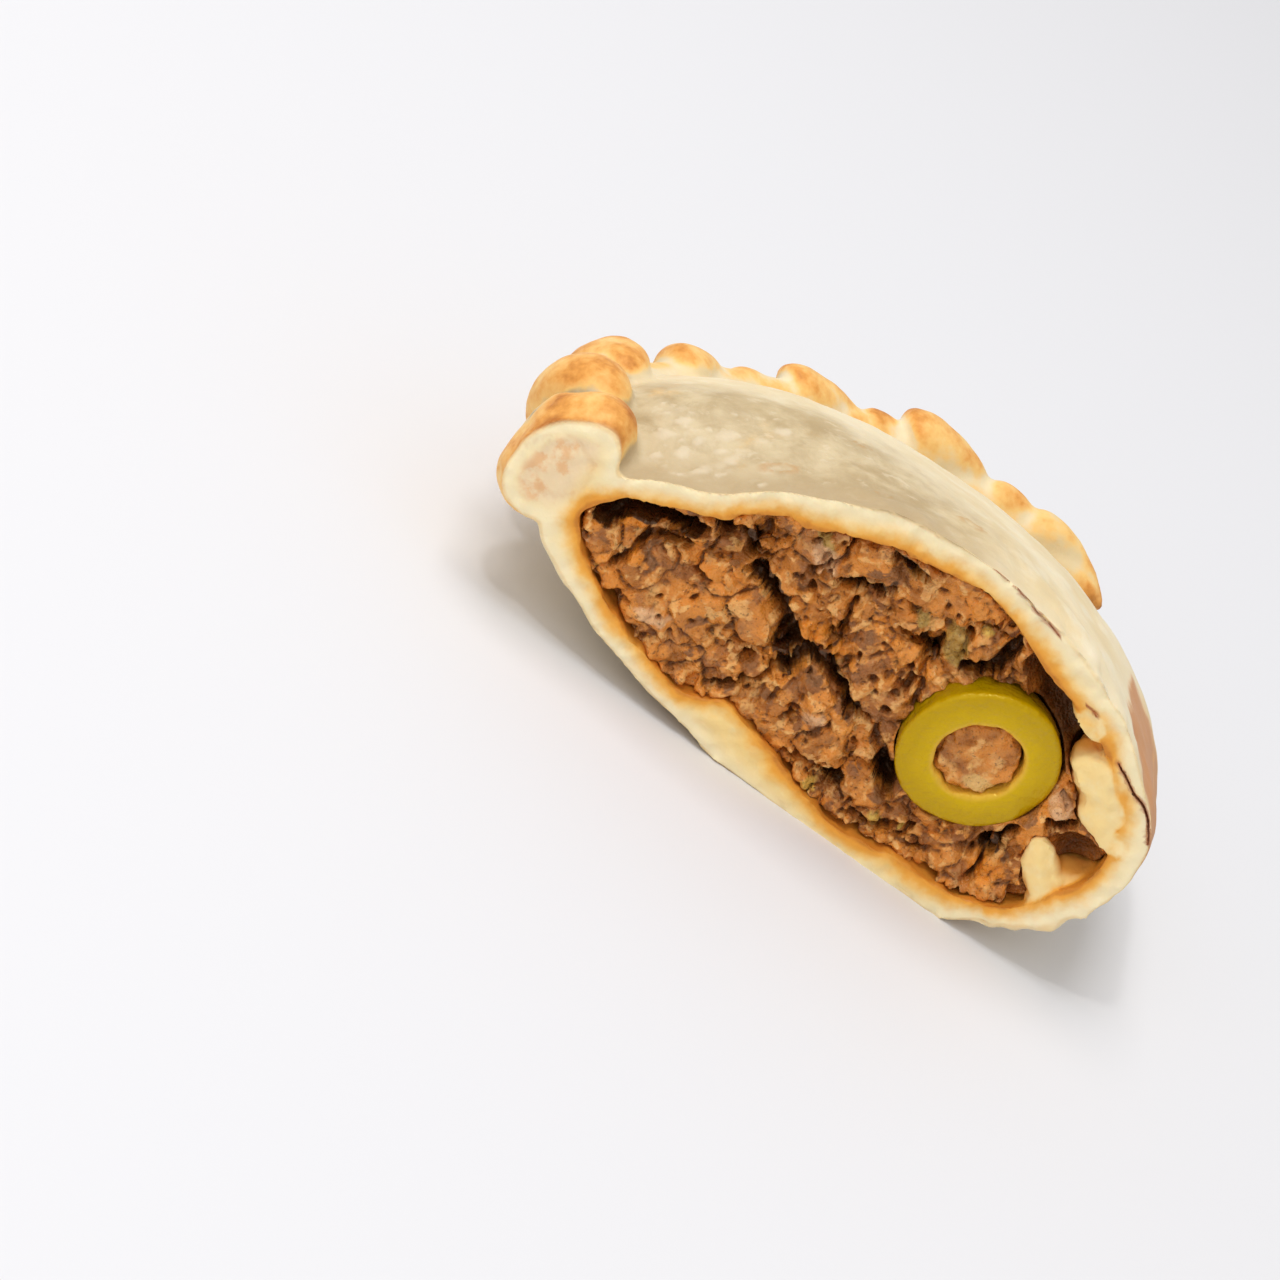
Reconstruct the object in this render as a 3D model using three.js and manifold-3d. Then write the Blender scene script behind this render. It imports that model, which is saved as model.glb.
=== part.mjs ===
// Half of a baked beef empanada, cut straight across, lying on its flat base.
// Millimetres, +Z up. In the working frame x runs from the crimped edge (0) to the fold (75),
// y runs from the cut face (0) back to the tip of the pastry, and z is the height over the base.
import * as THREE from "three";
import { mergeVertices } from "three/addons/utils/BufferGeometryUtils.js";
import Module from "manifold-3d";

const wasm = await Module();
wasm.setup();

// Driving dimensions
const CUT_WIDTH = 75; // the cut face, crimp to fold
const TIP = 61; // depth of the pastry behind the cut, under the crimp
const TIP_X = 58; // where the crimped edge and the fold meet
const STRAIGHT = 8; // the crimped edge runs straight back this far, and then in an arc to the tip
const FOLD_BULGE = 4.2; // how far the fold swells out between the cut and the tip
const SEAM_Z = 15; // height of the crimp at the cut
const CREST_Z = 35.4; // the top of the arch at the cut
const SEAM_DROP = 4.5; // how much lower the seam lies at the tip
const MIDDLE = { x: 37.5, y: 32.7 }; // the middle of the finished piece, which becomes the origin
const WALL = 3; // pastry over the filling
const TIP_WALL = 5; // pastry left at the tip behind the filling
const GAP = 0.35; // clearance between the filling and what holds it
const EVEN_DEPTH = 16; // how far behind the cut its uneven top has become an even arch

const ROPE = { x: 3.2, radius: 54.5, turn: 101, z: 16.4, drop: 3.6, level: 42, wide: 3.7, tall: 6.2 };
const CORE = { wide: 0.9, tall: 0.72 }; // the strand under the pleats, next to the crimp's half sizes
// Each pleat of the crimp: how far along the edge it sits, its size next to a full one, its half width.
const PLEATS = [
  [5.2, 1.02, 5], [15, 1.17, 5.8], [25, 1.17, 6], [35, 0.7, 4.6], [43.6, 0.96, 5.8], [54.5, 0.74, 5.4],
  [65, 0.88, 8.5], [75, 0.75, 6.4], [81.5, 0.99, 8.4], [92, 0.78, 5.6], [98.5, 0.77, 6],
];
// Angles are round the crimp from straight out; root and tip are the widths left at a pleat's ends.
const PLEAT = { lead: 9, low: -70, high: 160, thick: 2.9, sunk: 0.35, tilt: 18, root: 0.5, tip: 0.25 };
// The pleat that the knife went through.
const CUT_PLEAT = { x: 3, y: 3.6, z: 16.6, wide: 5.2, tall: 8.1, deep: 6.6, lean: 14 };

// Rolls of dough that bulge into the filling beside the fold: middle, half sizes and turn in radians.
const FOLDS = [
  [60.4, 3.2, 27.7, 2.9, 3.4, 1.7, 0.4],
  [64.8, 3.6, 22.5, 4.2, 3.4, 2.9, 0.6],
  [67.8, 3.8, 20.4, 3.2, 3.6, 3.2, 0.9],
];
// A wedge of the pastry that stands up from its lower wall inside the cavity.
const FLAP = { from: { x: 70, y: 2.1, z: 8.2 }, to: { x: 64.4, y: 1.6, z: 13.9 }, wide: 2.1, deep: 2 };

// The half olive: the middle of its cut face, its sizes, and the way it turns in the pastry. It is cut
// off at a share of its length, and its outline is blunter than a circle's.
const OLIVE = {
  x: 54.6, y: 0.3, z: 17, radius: 8.5, hole: 4.6, length: 10.4, turn: -10.8, nod: -4.5, end: 0.93, blunt: 2.4,
};
// Crumbs of mince stand in a jittered grid in front of a flat face behind the cut.
const MINCE = {
  face: 2.3, columns: 15, rows: 8, small: 1.5, large: 3.5, seed: 11, x: 8, z: 2, width: 62, height: 31,
};

// Outlines of the cut face, from the crimp over the top to the fold and back along the base.
const OUTSIDE = [
  [3.6, 15], [7.4, 19.4], [11.5, 22.2], [16, 24.6], [21.3, 28.6], [28, 32.4], [34.5, 34.5], [42, 35.4],
  [49, 34.5], [56.5, 33], [62.7, 30.5], [68.2, 26.4], [73, 21.6], [75, 15], [72, 8], [66.5, 3],
  [60, -0.8], [49, -1.4], [38, -0.8], [28, 1.3], [18, 3.7], [10.4, 6.5], [5.4, 10],
];
const INSIDE = [
  [7.4, 13.6], [9.2, 17.6], [13, 19.6], [17.9, 22.6], [22.3, 26], [28.6, 28.4], [35, 31], [42, 32.4],
  [48, 31.6], [55.5, 29.2], [62.5, 27], [67.5, 23], [70.8, 18], [71, 12], [67.5, 6.6], [62, 3.4],
  [54, 2.6], [46, 1.9], [38, 4], [31.5, 6], [26, 4.4], [19.6, 5.9], [12.3, 8.9],
];

const V = (x, y, z) => new THREE.Vector3(x, y, z);
const degrees = THREE.MathUtils.degToRad;

// ---- Solids

function solid(geometry) {
  const g = geometry.clone();
  g.deleteAttribute("normal");
  g.deleteAttribute("uv");
  const merged = mergeVertices(g, 1e-4);
  return new wasm.Manifold(
    new wasm.Mesh({
      numProp: 3,
      vertProperties: merged.attributes.position.array,
      triVerts: new Uint32Array(merged.index.array),
    }),
  );
}

// A sphere whose points are moved: u runs round it and v runs from its +Y pole to its -Y pole.
function shaped(around, along, place) {
  const g = new THREE.SphereGeometry(1, around, along);
  const p = g.attributes.position;
  for (let i = 0; i < p.count; i++) {
    const u = (i % (around + 1)) / around;
    const v = Math.floor(i / (around + 1)) / along;
    const at = place(u % 1, v);
    p.setXYZ(i, at.x, at.y, at.z);
  }
  return solid(g);
}

function block(low, high) {
  const size = high.clone().sub(low);
  const middle = low.clone().add(high).multiplyScalar(0.5);
  return solid(new THREE.BoxGeometry(size.x, size.y, size.z).translate(middle.x, middle.y, middle.z));
}

function ball(radius, detail, centre, stretch = V(1, 1, 1), turn = V(0, 0, 0)) {
  const g = new THREE.IcosahedronGeometry(radius, detail);
  g.scale(stretch.x, stretch.y, stretch.z);
  g.rotateX(turn.x).rotateY(turn.y).rotateZ(turn.z);
  return solid(g.translate(centre.x, centre.y, centre.z));
}

const joined = (parts) => parts.reduce((a, b) => a.add(b));

// Rings along a path, closed at both ends. frame(t) gives a ring's middle and its two half axes: side
// and then up turn like a screw that moves along the path.
function strand(around, along, frame) {
  return shaped(around, along, (u, v) => {
    const { middle, side, up } = frame((1 - Math.cos(Math.PI * v)) / 2);
    const angle = 2 * Math.PI * u;
    const round = Math.sin(Math.PI * v) ** 0.6;
    return middle
      .addScaledVector(side, Math.cos(angle) * round)
      .addScaledVector(up, -Math.sin(angle) * round);
  });
}

// ---- The pastry's form

function crimpSide(y, tip) {
  const share = Math.max(0, y - STRAIGHT) / (tip - STRAIGHT);
  return TIP_X * (1 - Math.sqrt(Math.max(0, 1 - share ** 2)));
}

function foldSide(y, tip) {
  const lean = CUT_WIDTH - TIP_X - 8 * (y / tip) ** 2.2 + FOLD_BULGE * Math.sin((Math.PI * y) / tip);
  return TIP_X + lean * Math.sqrt(Math.max(0, 1 - (y / tip) ** 12));
}

// The even arch that the top takes behind the cut, as a height over the seam.
const arch = (share) => (CREST_Z - SEAM_Z) * Math.max(0, 1 - Math.abs(2 * share - 1) ** 2.4) ** 0.75;

// Carries a point of a cut outline back to the depth y, in a body whose tip lies at the depth tip.
function carried([x, z], y, tip, wall) {
  const depth = Math.max(y, 0);
  const share = x / CUT_WIDTH;
  const left = crimpSide(depth, tip);
  const right = foldSide(depth, tip);
  const seam = SEAM_Z - (SEAM_DROP * depth) / TIP;
  const dome = 1 - (depth / tip) ** 2;
  const keel = (1 - (0.22 * depth) / tip) * Math.sqrt(Math.max(0, 1 - (depth / tip) ** 6));
  const height = z - SEAM_Z;
  const evened = THREE.MathUtils.smoothstep(depth, 0, EVEN_DEPTH);
  const over = THREE.MathUtils.lerp(height, Math.max(0, arch(share) - wall), evened) * dome;
  return V(left + (right - left) * share, y, seam + (height > 0 ? over : height * keel));
}

// The closed curve through an outline's points, moved inwards by a clearance.
function outlinePoints(outline, count, inset) {
  const curve = new THREE.CatmullRomCurve3(
    outline.map(([x, z]) => V(x, 0, z)), true, "catmullrom", 0.5);
  return Array.from({ length: count }, (_, i) => {
    const p = curve.getPoint(i / count);
    const t = curve.getTangent(i / count);
    return [p.x + t.z * inset, p.z - t.x * inset];
  });
}

function pillow(outline, around, along, tip, wall, inset = 0) {
  const points = outlinePoints(outline, around, inset);
  const front = 4;
  return shaped(around, along, (u, v) => {
    const along01 = Math.cos(Math.PI * v);
    const y = along01 > 0 ? tip * along01 : front * along01;
    const ring = points[Math.round(u * around) % around];
    const shrink = along01 > 0 ? 1 : Math.sqrt(1 - along01 ** 2);
    const middle = [CUT_WIDTH / 2, SEAM_Z];
    const moved = ring.map((value, i) => middle[i] + (value - middle[i]) * shrink);
    return carried(moved, y, tip, wall);
  });
}

// ---- The crimp

const ROPE_LENGTH = STRAIGHT + ROPE.radius * degrees(ROPE.turn);

// The point of the crimp's centre line at a distance from the cut, and the way it runs there.
function ropeAt(distance) {
  const angle = Math.max(0, distance - STRAIGHT) / ROPE.radius;
  const fall = ROPE.drop * THREE.MathUtils.smoothstep(distance, 0, ROPE.level);
  const centre = V(ROPE.x + ROPE.radius, STRAIGHT, ROPE.z - fall);
  const out = V(-Math.cos(angle), Math.sin(angle), 0);
  const way = V(Math.sin(angle), Math.cos(angle), 0);
  const before = Math.min(0, distance - STRAIGHT);
  return { point: centre.addScaledVector(out, ROPE.radius).addScaledVector(way, before), out, way };
}

// A pleat starts low on the outside, rises over the edge and tucks its tip in on the filled side.
function pleat([place, size, wide]) {
  const tilt = degrees(PLEAT.tilt);
  const widest = 0.45; // the share of the way along at which a pleat is broadest
  return strand(14, 12, (t) => {
    const angle = degrees(PLEAT.low + (PLEAT.high - PLEAT.low) * t);
    const { point, out, way } = ropeAt(place + PLEAT.lead * (0.5 - t));
    const radial = out.multiplyScalar(Math.cos(angle)).add(V(0, 0, Math.sin(angle)));
    const end = t < widest ? PLEAT.root : PLEAT.tip;
    const bulge = t < widest ? t / (2 * widest) : (t + 0.1) / 1.1;
    const swell = end + (1 - end) * Math.sin(Math.PI * bulge);
    const reach = radial.clone().multiply(V(ROPE.wide, ROPE.wide, ROPE.tall));
    const side = way.clone().multiplyScalar(Math.cos(tilt)).addScaledVector(radial, -Math.sin(tilt));
    const up = radial.clone().multiplyScalar(Math.cos(tilt)).addScaledVector(way, Math.sin(tilt));
    return {
      middle: point.addScaledVector(reach, size - PLEAT.sunk),
      side: side.multiplyScalar(wide * swell),
      up: up.multiplyScalar(PLEAT.thick * size * swell),
    };
  });
}

function ropeCore() {
  const before = 6; // it starts in front of the cut, which trims it
  return strand(14, 30, (t) => {
    const { point, out } = ropeAt(-before + (ROPE_LENGTH + before) * t);
    return {
      middle: point,
      side: out.multiplyScalar(ROPE.wide * CORE.wide),
      up: V(0, 0, ROPE.tall * CORE.tall),
    };
  });
}

// ---- The pieces

function innerFolds(grow) {
  const rolls = FOLDS.map(([x, y, z, long, deep, tall, turn]) =>
    ball(1, 1, V(x, y, z), V(long + grow, deep + grow, tall + grow), V(0, turn, 0)));
  const { from, to, wide, deep } = FLAP;
  const up = V(to.x - from.x, 0, to.z - from.z).normalize();
  const flap = strand(8, 8, (t) => ({
    middle: V(from.x, from.y, from.z).lerp(V(to.x, to.y, to.z), t),
    side: V(up.z, 0, -up.x).multiplyScalar(THREE.MathUtils.lerp(wide, wide / 2, t) + grow),
    up: V(0, THREE.MathUtils.lerp(deep, deep / 2, t) + grow, 0),
  }));
  return [...rolls, flap];
}

function cutPleat() {
  const { x, y, z, wide, tall, deep, lean } = CUT_PLEAT;
  return ball(1, 3, V(x, y, z), V(wide, deep, tall), V(0, degrees(lean), 0));
}

function makeCrust() {
  const behindCut = block(V(-30, 0, 0), V(110, 90, 70));
  const shell = pillow(OUTSIDE, 50, 36, TIP, 0);
  const rope = joined([ropeCore(), cutPleat(), ...PLEATS.map(pleat)]);
  const cavity = pillow(INSIDE, 46, 30, TIP - TIP_WALL, WALL);
  const within = pillow(OUTSIDE, 50, 36, TIP, 0, 1.2);
  const folds = joined(innerFolds(0)).intersect(within);
  return joined([shell, rope]).subtract(cavity).add(folds).intersect(behindCut);
}

// Turns what is made round the +Y axis so that it points into the pastry where the olive lies.
function inPlace(geometry) {
  geometry.rotateX(degrees(-OLIVE.nod)).rotateZ(degrees(-OLIVE.turn));
  return solid(geometry.translate(OLIVE.x, OLIVE.y, OLIVE.z));
}

function oliveProfile(grow) {
  const points = [];
  for (let i = 0; i <= 8; i++) {
    const share = (i / 8) * OLIVE.end;
    const round = Math.sqrt(1 - share ** OLIVE.blunt);
    points.push([(OLIVE.radius + grow) * round, (OLIVE.length + grow) * share]);
  }
  return points;
}

function lathe(profile, sides) {
  return new THREE.LatheGeometry(profile.map(([r, y]) => new THREE.Vector2(r, y)), sides);
}

function makeOlive() {
  const outside = oliveProfile(0);
  const [endRadius, endDepth] = outside.at(-1);
  const hole = [[endRadius * 0.6, endDepth], [OLIVE.hole, endDepth * 0.72], [OLIVE.hole, 0.4]];
  const rim = [[OLIVE.hole + 0.4, 0], [OLIVE.radius - 0.4, 0]];
  return inPlace(lathe([...rim, ...outside.slice(1), ...hole, rim[0]], 28));
}

function makeOliveMince() {
  const radius = OLIVE.hole - GAP;
  const depth = OLIVE.length * 0.55;
  const plug = inPlace(lathe([[0, 1.2], [radius, 1.2], [radius, depth], [0, depth]], 20));
  const draw = random(MINCE.seed + 5);
  const bits = Array.from({ length: 9 }, (_, i) => {
    const angle = i * 2.4;
    const reach = (radius - 1.5) * Math.sqrt(i / 9);
    return inPlace(new THREE.IcosahedronGeometry(1.1 + 0.4 * draw(), 0)
      .translate(reach * Math.cos(angle), 1.5, reach * Math.sin(angle)));
  });
  const bore = inPlace(lathe([[0, 0.2], [radius, 0.2], [radius, depth], [0, depth]], 20));
  return joined([plug, ...bits]).intersect(bore).intersect(block(V(0, 0.1, 0), V(90, 60, 60)));
}

// The same run of even random numbers from 0 to 1 each time.
function random(seed) {
  let state = seed;
  return () => {
    state = (state * 16807) % 2147483647;
    return state / 2147483647;
  };
}

function crumbs() {
  const draw = random(MINCE.seed);
  const made = [];
  for (let column = 0; column < MINCE.columns; column++) {
    for (let row = 0; row < MINCE.rows; row++) {
      const x = MINCE.x + (MINCE.width * (column + draw())) / MINCE.columns;
      const z = MINCE.z + (MINCE.height * (row + draw())) / MINCE.rows;
      const size = MINCE.small + (MINCE.large - MINCE.small) * draw() ** 2.2;
      const stretch = V(0.8 + 0.5 * draw(), 0.8, 0.8 + 0.4 * draw());
      const turn = V(3 * draw(), 3 * draw(), 3 * draw());
      made.push(ball(size, 0, V(x, MINCE.face + 0.1 + 0.9 * draw(), z), stretch, turn));
    }
  }
  return joined(made);
}

// A heap in the cavity, with the olive's room, the hollows beside the fold and small gaps cut out.
function makeFilling() {
  const room = pillow(INSIDE, 46, 30, TIP - TIP_WALL - 1, WALL + GAP, GAP);
  const core = room.intersect(block(V(-10, MINCE.face, -5), V(90, 80, 60)));
  const heap = core.add(crumbs().intersect(room)).intersect(block(V(-10, 0.3, -5), V(90, 80, 60)));
  const oliveRoom = inPlace(lathe(
    [[0, -6], [OLIVE.radius + GAP, -6], ...oliveProfile(GAP), [0, oliveProfile(GAP).at(-1)[1]]], 28));
  const overOlive = ball(5.6, 1, V(58.2, 0.5, 25.6), V(1.35, 0.9, 0.62), V(0, 0.55, 0));
  const foldHollow = ball(4.2, 1, V(68.3, 0.5, 13.5), V(1.3, 1.2, 0.8));
  const gaps = [[33.5, 15.5], [27.5, 18.5], [37, 21.2], [16.8, 18.6], [47.2, 9.6], [47, 27.5]];
  const pits = gaps.map(([x, z], i) => ball(1.7 + 0.5 * (i % 3), 0, V(x, 1.2, z)));
  const kept = heap.subtract(joined([oliveRoom, overOlive, foldHollow, ...innerFolds(GAP), ...pits]));
  return kept.decompose().sort((a, b) => b.volume() - a.volume())[0];
}

// ---- The part

const FINISH = {
  crust: { color: 0xe9cf9f, roughness: 0.72 },
  filling: { color: 0x8a5430, roughness: 0.55 },
  olive: { color: 0xb2900d, roughness: 0.3 },
  olive_mince: { color: 0x9a6238, roughness: 0.6 },
};

function piece(name, body) {
  const mesh = body.getMesh();
  const geometry = new THREE.BufferGeometry();
  geometry.setAttribute("position", new THREE.BufferAttribute(mesh.vertProperties, 3));
  geometry.setIndex(new THREE.BufferAttribute(mesh.triVerts, 1));
  geometry.computeVertexNormals();
  const material = new THREE.MeshStandardMaterial({ ...FINISH[name], metalness: 0 });
  const made = new THREE.Mesh(geometry, material);
  made.name = name;
  return made;
}

const empanada = new THREE.Group();
empanada.add(
  piece("crust", makeCrust()),
  piece("filling", makeFilling()),
  piece("olive", makeOlive()),
  piece("olive_mince", makeOliveMince()),
);
empanada.position.set(-MIDDLE.x, -MIDDLE.y, 0);

export default empanada;
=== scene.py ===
# Half of a baked beef empanada: pastry with a crimped rope edge, minced beef filling and an olive.
# Shapes are worked out in the pastry's own frame, in millimetres: x runs from the crimped edge to
# the fold, y from the cut face back to the tip, z up. They are written in metres about the middle.
import itertools
import math

import bpy
import numpy as np
from mathutils import Matrix, Vector
from mathutils.bvhtree import BVHTree


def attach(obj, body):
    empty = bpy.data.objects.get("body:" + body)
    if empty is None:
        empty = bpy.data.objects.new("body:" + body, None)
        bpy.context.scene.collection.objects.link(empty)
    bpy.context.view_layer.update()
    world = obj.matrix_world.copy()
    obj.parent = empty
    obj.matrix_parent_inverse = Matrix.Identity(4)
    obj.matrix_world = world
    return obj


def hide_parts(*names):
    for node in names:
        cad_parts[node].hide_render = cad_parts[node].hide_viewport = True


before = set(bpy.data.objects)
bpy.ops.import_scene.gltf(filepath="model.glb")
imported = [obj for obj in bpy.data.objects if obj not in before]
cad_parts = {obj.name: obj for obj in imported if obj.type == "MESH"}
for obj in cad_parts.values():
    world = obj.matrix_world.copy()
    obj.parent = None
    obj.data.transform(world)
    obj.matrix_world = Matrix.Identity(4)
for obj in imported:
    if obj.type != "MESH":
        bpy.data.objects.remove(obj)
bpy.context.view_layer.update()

MM = 0.001
MIDDLE = np.array([37.5, 32.7, 0.0])

# ---- Sizes, in millimetres and degrees

CUT_WIDTH = 75
TIP = 61
TIP_X = 58
STRAIGHT = 8
FOLD_BULGE = 4.2
SEAM_Z = 15
CREST_Z = 35.4
SEAM_DROP = 4.5
FOLD_LEAN = 8
WALL = 3
TIP_WALL = 5
GAP = 0.35
HEAP_TIP = TIP - TIP_WALL - 1
# How far a point may leave the outer skin before it is put back, how near the cavity's wall its
# skin goes, and the angle between faces from which an edge stays hard.
STRAY = 0.5
INNER_SKIN = 0.8
SHARP = 55
# The sizes of the cells that the pieces are remeshed with.
DOUGH_GRAIN, CUT_GRAIN, HEAP_GRAIN, PLUG_GRAIN = 0.42, 0.44, 0.24, 0.2

ROPE = dict(x=3.2, radius=54.5, turn=101, z=16.4, drop=3.6, level=42, wide=3.7, tall=6.2)
CORE = dict(wide=0.9, tall=0.72)
# Pleats of the rope: how far along it from the cut, their size and their half width.
PLEATS = [
    (5.2, 1.02, 5), (15, 1.17, 5.8), (25, 1.17, 6), (35, 0.7, 4.6), (43.6, 0.96, 5.8),
    (54.5, 0.74, 5.4), (65, 0.88, 8.5), (75, 0.75, 6.4), (81.5, 0.99, 8.4), (92, 0.78, 5.6),
    (98.5, 0.77, 6),
]
PLEAT = dict(lead=9, low=-70, high=160, thick=2.9, sunk=0.35, tilt=18, root=0.5, tip=0.25)
# The pleat that the cut goes through: middle, half sizes and turn.
CUT_PLEAT = ((3, 3.6, 16.6), (5.2, 6.6, 8.1), (0, math.radians(14), 0))
OLIVE = dict(x=54.6, y=0.3, z=17, radius=8.5, hole=4.6, length=10.4, turn=-10.8, nod=-4.5)

# The pastry's outer and inner outlines at the cut, as x and z.
OUTSIDE = [
    (3.6, 15), (7.4, 19.4), (11.5, 22.2), (16, 24.6), (21.3, 28.6), (28, 32.4), (34.5, 34.5),
    (42, 35.4), (49, 34.5), (56.5, 33), (62.7, 30.5), (68.2, 26.4), (73, 21.6), (75, 15), (72, 8),
    (66.5, 3), (60, -0.8), (49, -1.4), (38, -0.8), (28, 1.3), (18, 3.7), (10.4, 6.5), (5.4, 10),
]
INSIDE = [
    (7.4, 13.6), (9.2, 17.6), (13, 19.6), (17.9, 22.6), (22.3, 26), (28.6, 28.4), (35, 31),
    (42, 32.4), (48, 31.6), (55.5, 29.2), (62.5, 27), (67.5, 23), (70.8, 18), (71, 12),
    (67.5, 6.6), (62, 3.4), (54, 2.6), (46, 1.9), (38, 4), (31.5, 6), (26, 4.4), (19.6, 5.9),
    (12.3, 8.9),
]


# ---- Random grain

def lattice(i, j, k, seed):
    """An even random number from -1 to 1 for each whole point."""
    mixed = (i * 374761393 + j * 668265263 + k * 1274126177 + seed * 144665) & 0xFFFFFFFF
    mixed = ((mixed ^ (mixed >> 13)) * 1103515245) & 0xFFFFFFFF
    return ((mixed ^ (mixed >> 16)) & 0xFFFF) / 32767.5 - 1


def grain(points, size, seed, octaves=1):
    """Soft noise from about -1 to 1, whose largest grains have the given size."""
    total = np.zeros(len(points))
    for octave in range(octaves):
        p = points / size * 2 ** octave + 31.7 * octave
        base = np.floor(p).astype(np.int64)
        f = p - base
        ease = f * f * f * (f * (f * 6 - 15) + 10)
        for corner in itertools.product((0, 1), repeat=3):
            share = np.prod(np.where(corner, ease, 1 - ease), axis=1)
            total += share * lattice(*(base + corner).T, seed + octave) / 2 ** octave
    return total


def bent(points, amount, size, seed):
    """Points moved about by soft noise, so that what is drawn by them gets uneven edges."""
    return points + amount * np.stack([grain(points, size, seed + k, 2) for k in range(3)], axis=1)


def cells(points, size, seed):
    """How far points lie from the borders of random cells, as a share of their size, and a number
    from -1 to 1 for each point's own cell."""
    p = points / size
    base = np.floor(p).astype(np.int64)
    first, second, own = np.full(len(p), 9.0), np.full(len(p), 9.0), np.zeros(len(p))
    for step in itertools.product((-1, 0, 1), repeat=3):
        cell = base + step
        spot = cell + 0.5 + 0.45 * np.stack([lattice(*cell.T, seed + k) for k in range(3)], axis=1)
        away = np.linalg.norm(p - spot, axis=1)
        nearer = away < first
        second = np.where(nearer, first, np.minimum(second, away))
        own = np.where(nearer, lattice(*cell.T, seed + 7), own)
        first = np.where(nearer, away, first)
    return second - first, own


def smoothstep(value, low, high):
    t = np.clip((value - low) / (high - low), 0, 1)
    return t * t * (3 - 2 * t)


# ---- Meshes

def pick(obj):
    """Makes an object the only selected and active one."""
    bpy.ops.object.select_all(action="DESELECT")
    obj.select_set(True)
    bpy.context.view_layer.objects.active = obj
    return obj


def places(obj):
    """The vertices of a mesh in the pastry's frame."""
    flat = np.empty(len(obj.data.vertices) * 3, np.float32)
    obj.data.vertices.foreach_get("co", flat)
    return flat.reshape(-1, 3).astype(float) / MM + MIDDLE


def move_to(obj, points):
    flat = ((points - MIDDLE) * MM).astype(np.float32).ravel()
    obj.data.vertices.foreach_set("co", flat)
    obj.data.update()
    return obj


def facing(obj):
    flat = np.empty(len(obj.data.vertices) * 3, np.float32)
    obj.data.vertices.foreach_get("normal", flat)
    return flat.reshape(-1, 3).astype(float)


def face_out(obj):
    pick(obj)
    bpy.ops.object.mode_set(mode="EDIT")
    bpy.ops.mesh.select_all(action="SELECT")
    bpy.ops.mesh.remove_doubles(threshold=1e-6)
    bpy.ops.mesh.normals_make_consistent(inside=False)
    bpy.ops.object.mode_set(mode="OBJECT")
    return obj


def finish_with(obj, kind, **settings):
    """Adds a modifier and applies it."""
    pick(obj)
    made = obj.modifiers.new(kind.lower(), kind)
    for key, value in settings.items():
        setattr(made, key, value)
    bpy.ops.object.modifier_apply(modifier=made.name)
    return obj


def combine(obj, other, operation):
    """Joins, cuts or keeps the common part of two closed meshes, and removes the second."""
    finish_with(obj, "BOOLEAN", object=other, operation=operation, solver="MANIFOLD")
    bpy.data.objects.remove(other)
    return obj


def join(objects, name):
    bpy.ops.object.select_all(action="DESELECT")
    for obj in objects:
        obj.select_set(True)
    bpy.context.view_layer.objects.active = objects[0]
    bpy.ops.object.join()
    objects[0].name = objects[0].data.name = name
    return objects[0]


def remesh(obj, size):
    return finish_with(obj, "REMESH", mode="VOXEL", voxel_size=size * MM, use_smooth_shade=True)


def smooth(obj, factor, times):
    return finish_with(obj, "SMOOTH", factor=factor, iterations=times)


def surface(obj):
    return BVHTree.FromObject(obj, bpy.context.evaluated_depsgraph_get())


def store(obj, **layers):
    """Keeps a number for each vertex under a name, for the finish to read."""
    for name, values in layers.items():
        layer = obj.data.attributes.new(name, "FLOAT", "POINT")
        layer.data.foreach_set("value", np.asarray(values, np.float32))


def moved_ball(around, along, place):
    """A sphere whose points are moved by place(u, t, round): u runs round it, t from 0 at one pole
    to 1 at the other, and round is its width there."""
    bpy.ops.mesh.primitive_uv_sphere_add(segments=around, ring_count=along, radius=1)
    obj = bpy.context.object
    unit = np.array([v.co for v in obj.data.vertices])
    u = np.arctan2(unit[:, 1], unit[:, 0]) / (2 * math.pi) % 1
    t = np.clip((1 - unit[:, 2]) / 2, 0, 1)
    return face_out(move_to(obj, place(u, t, np.sqrt(np.clip(1 - unit[:, 2] ** 2, 0, 1)))))


def lump(centre, size, turn=(0, 0, 0), detail=4):
    """An ellipsoid with half axes of the given sizes, turned by angles in radians."""
    bpy.ops.mesh.primitive_ico_sphere_add(subdivisions=detail, radius=1)
    obj = bpy.context.object
    unit = np.array([v.co for v in obj.data.vertices]) * size
    for axis, angle in zip("XYZ", turn):
        unit = unit @ np.array(Matrix.Rotation(angle, 3, axis)).T
    return move_to(obj, unit + centre)


def block(low, high):
    bpy.ops.mesh.primitive_cube_add(size=1)
    obj = bpy.context.object
    unit = np.array([v.co for v in obj.data.vertices]) + 0.5
    return move_to(obj, np.array(low) + unit * (np.array(high) - np.array(low)))


# ---- The pastry's form

def crimp_side(y, tip):
    share = np.clip((y - STRAIGHT) / (tip - STRAIGHT), 0, 1)
    return TIP_X * (1 - np.sqrt(1 - share ** 2))


def fold_side(y, tip):
    share = np.clip(y / tip, 0, 1)
    lean = CUT_WIDTH - TIP_X - FOLD_LEAN * share ** 2.2 + FOLD_BULGE * np.sin(math.pi * share)
    return TIP_X + lean * np.sqrt(1 - share ** 12)


def arch(share):
    """The even arch that the top takes behind the cut, as a height over the seam."""
    return (CREST_Z - SEAM_Z) * np.clip(1 - np.abs(2 * share - 1) ** 2.4, 0, 1) ** 0.75


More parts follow.
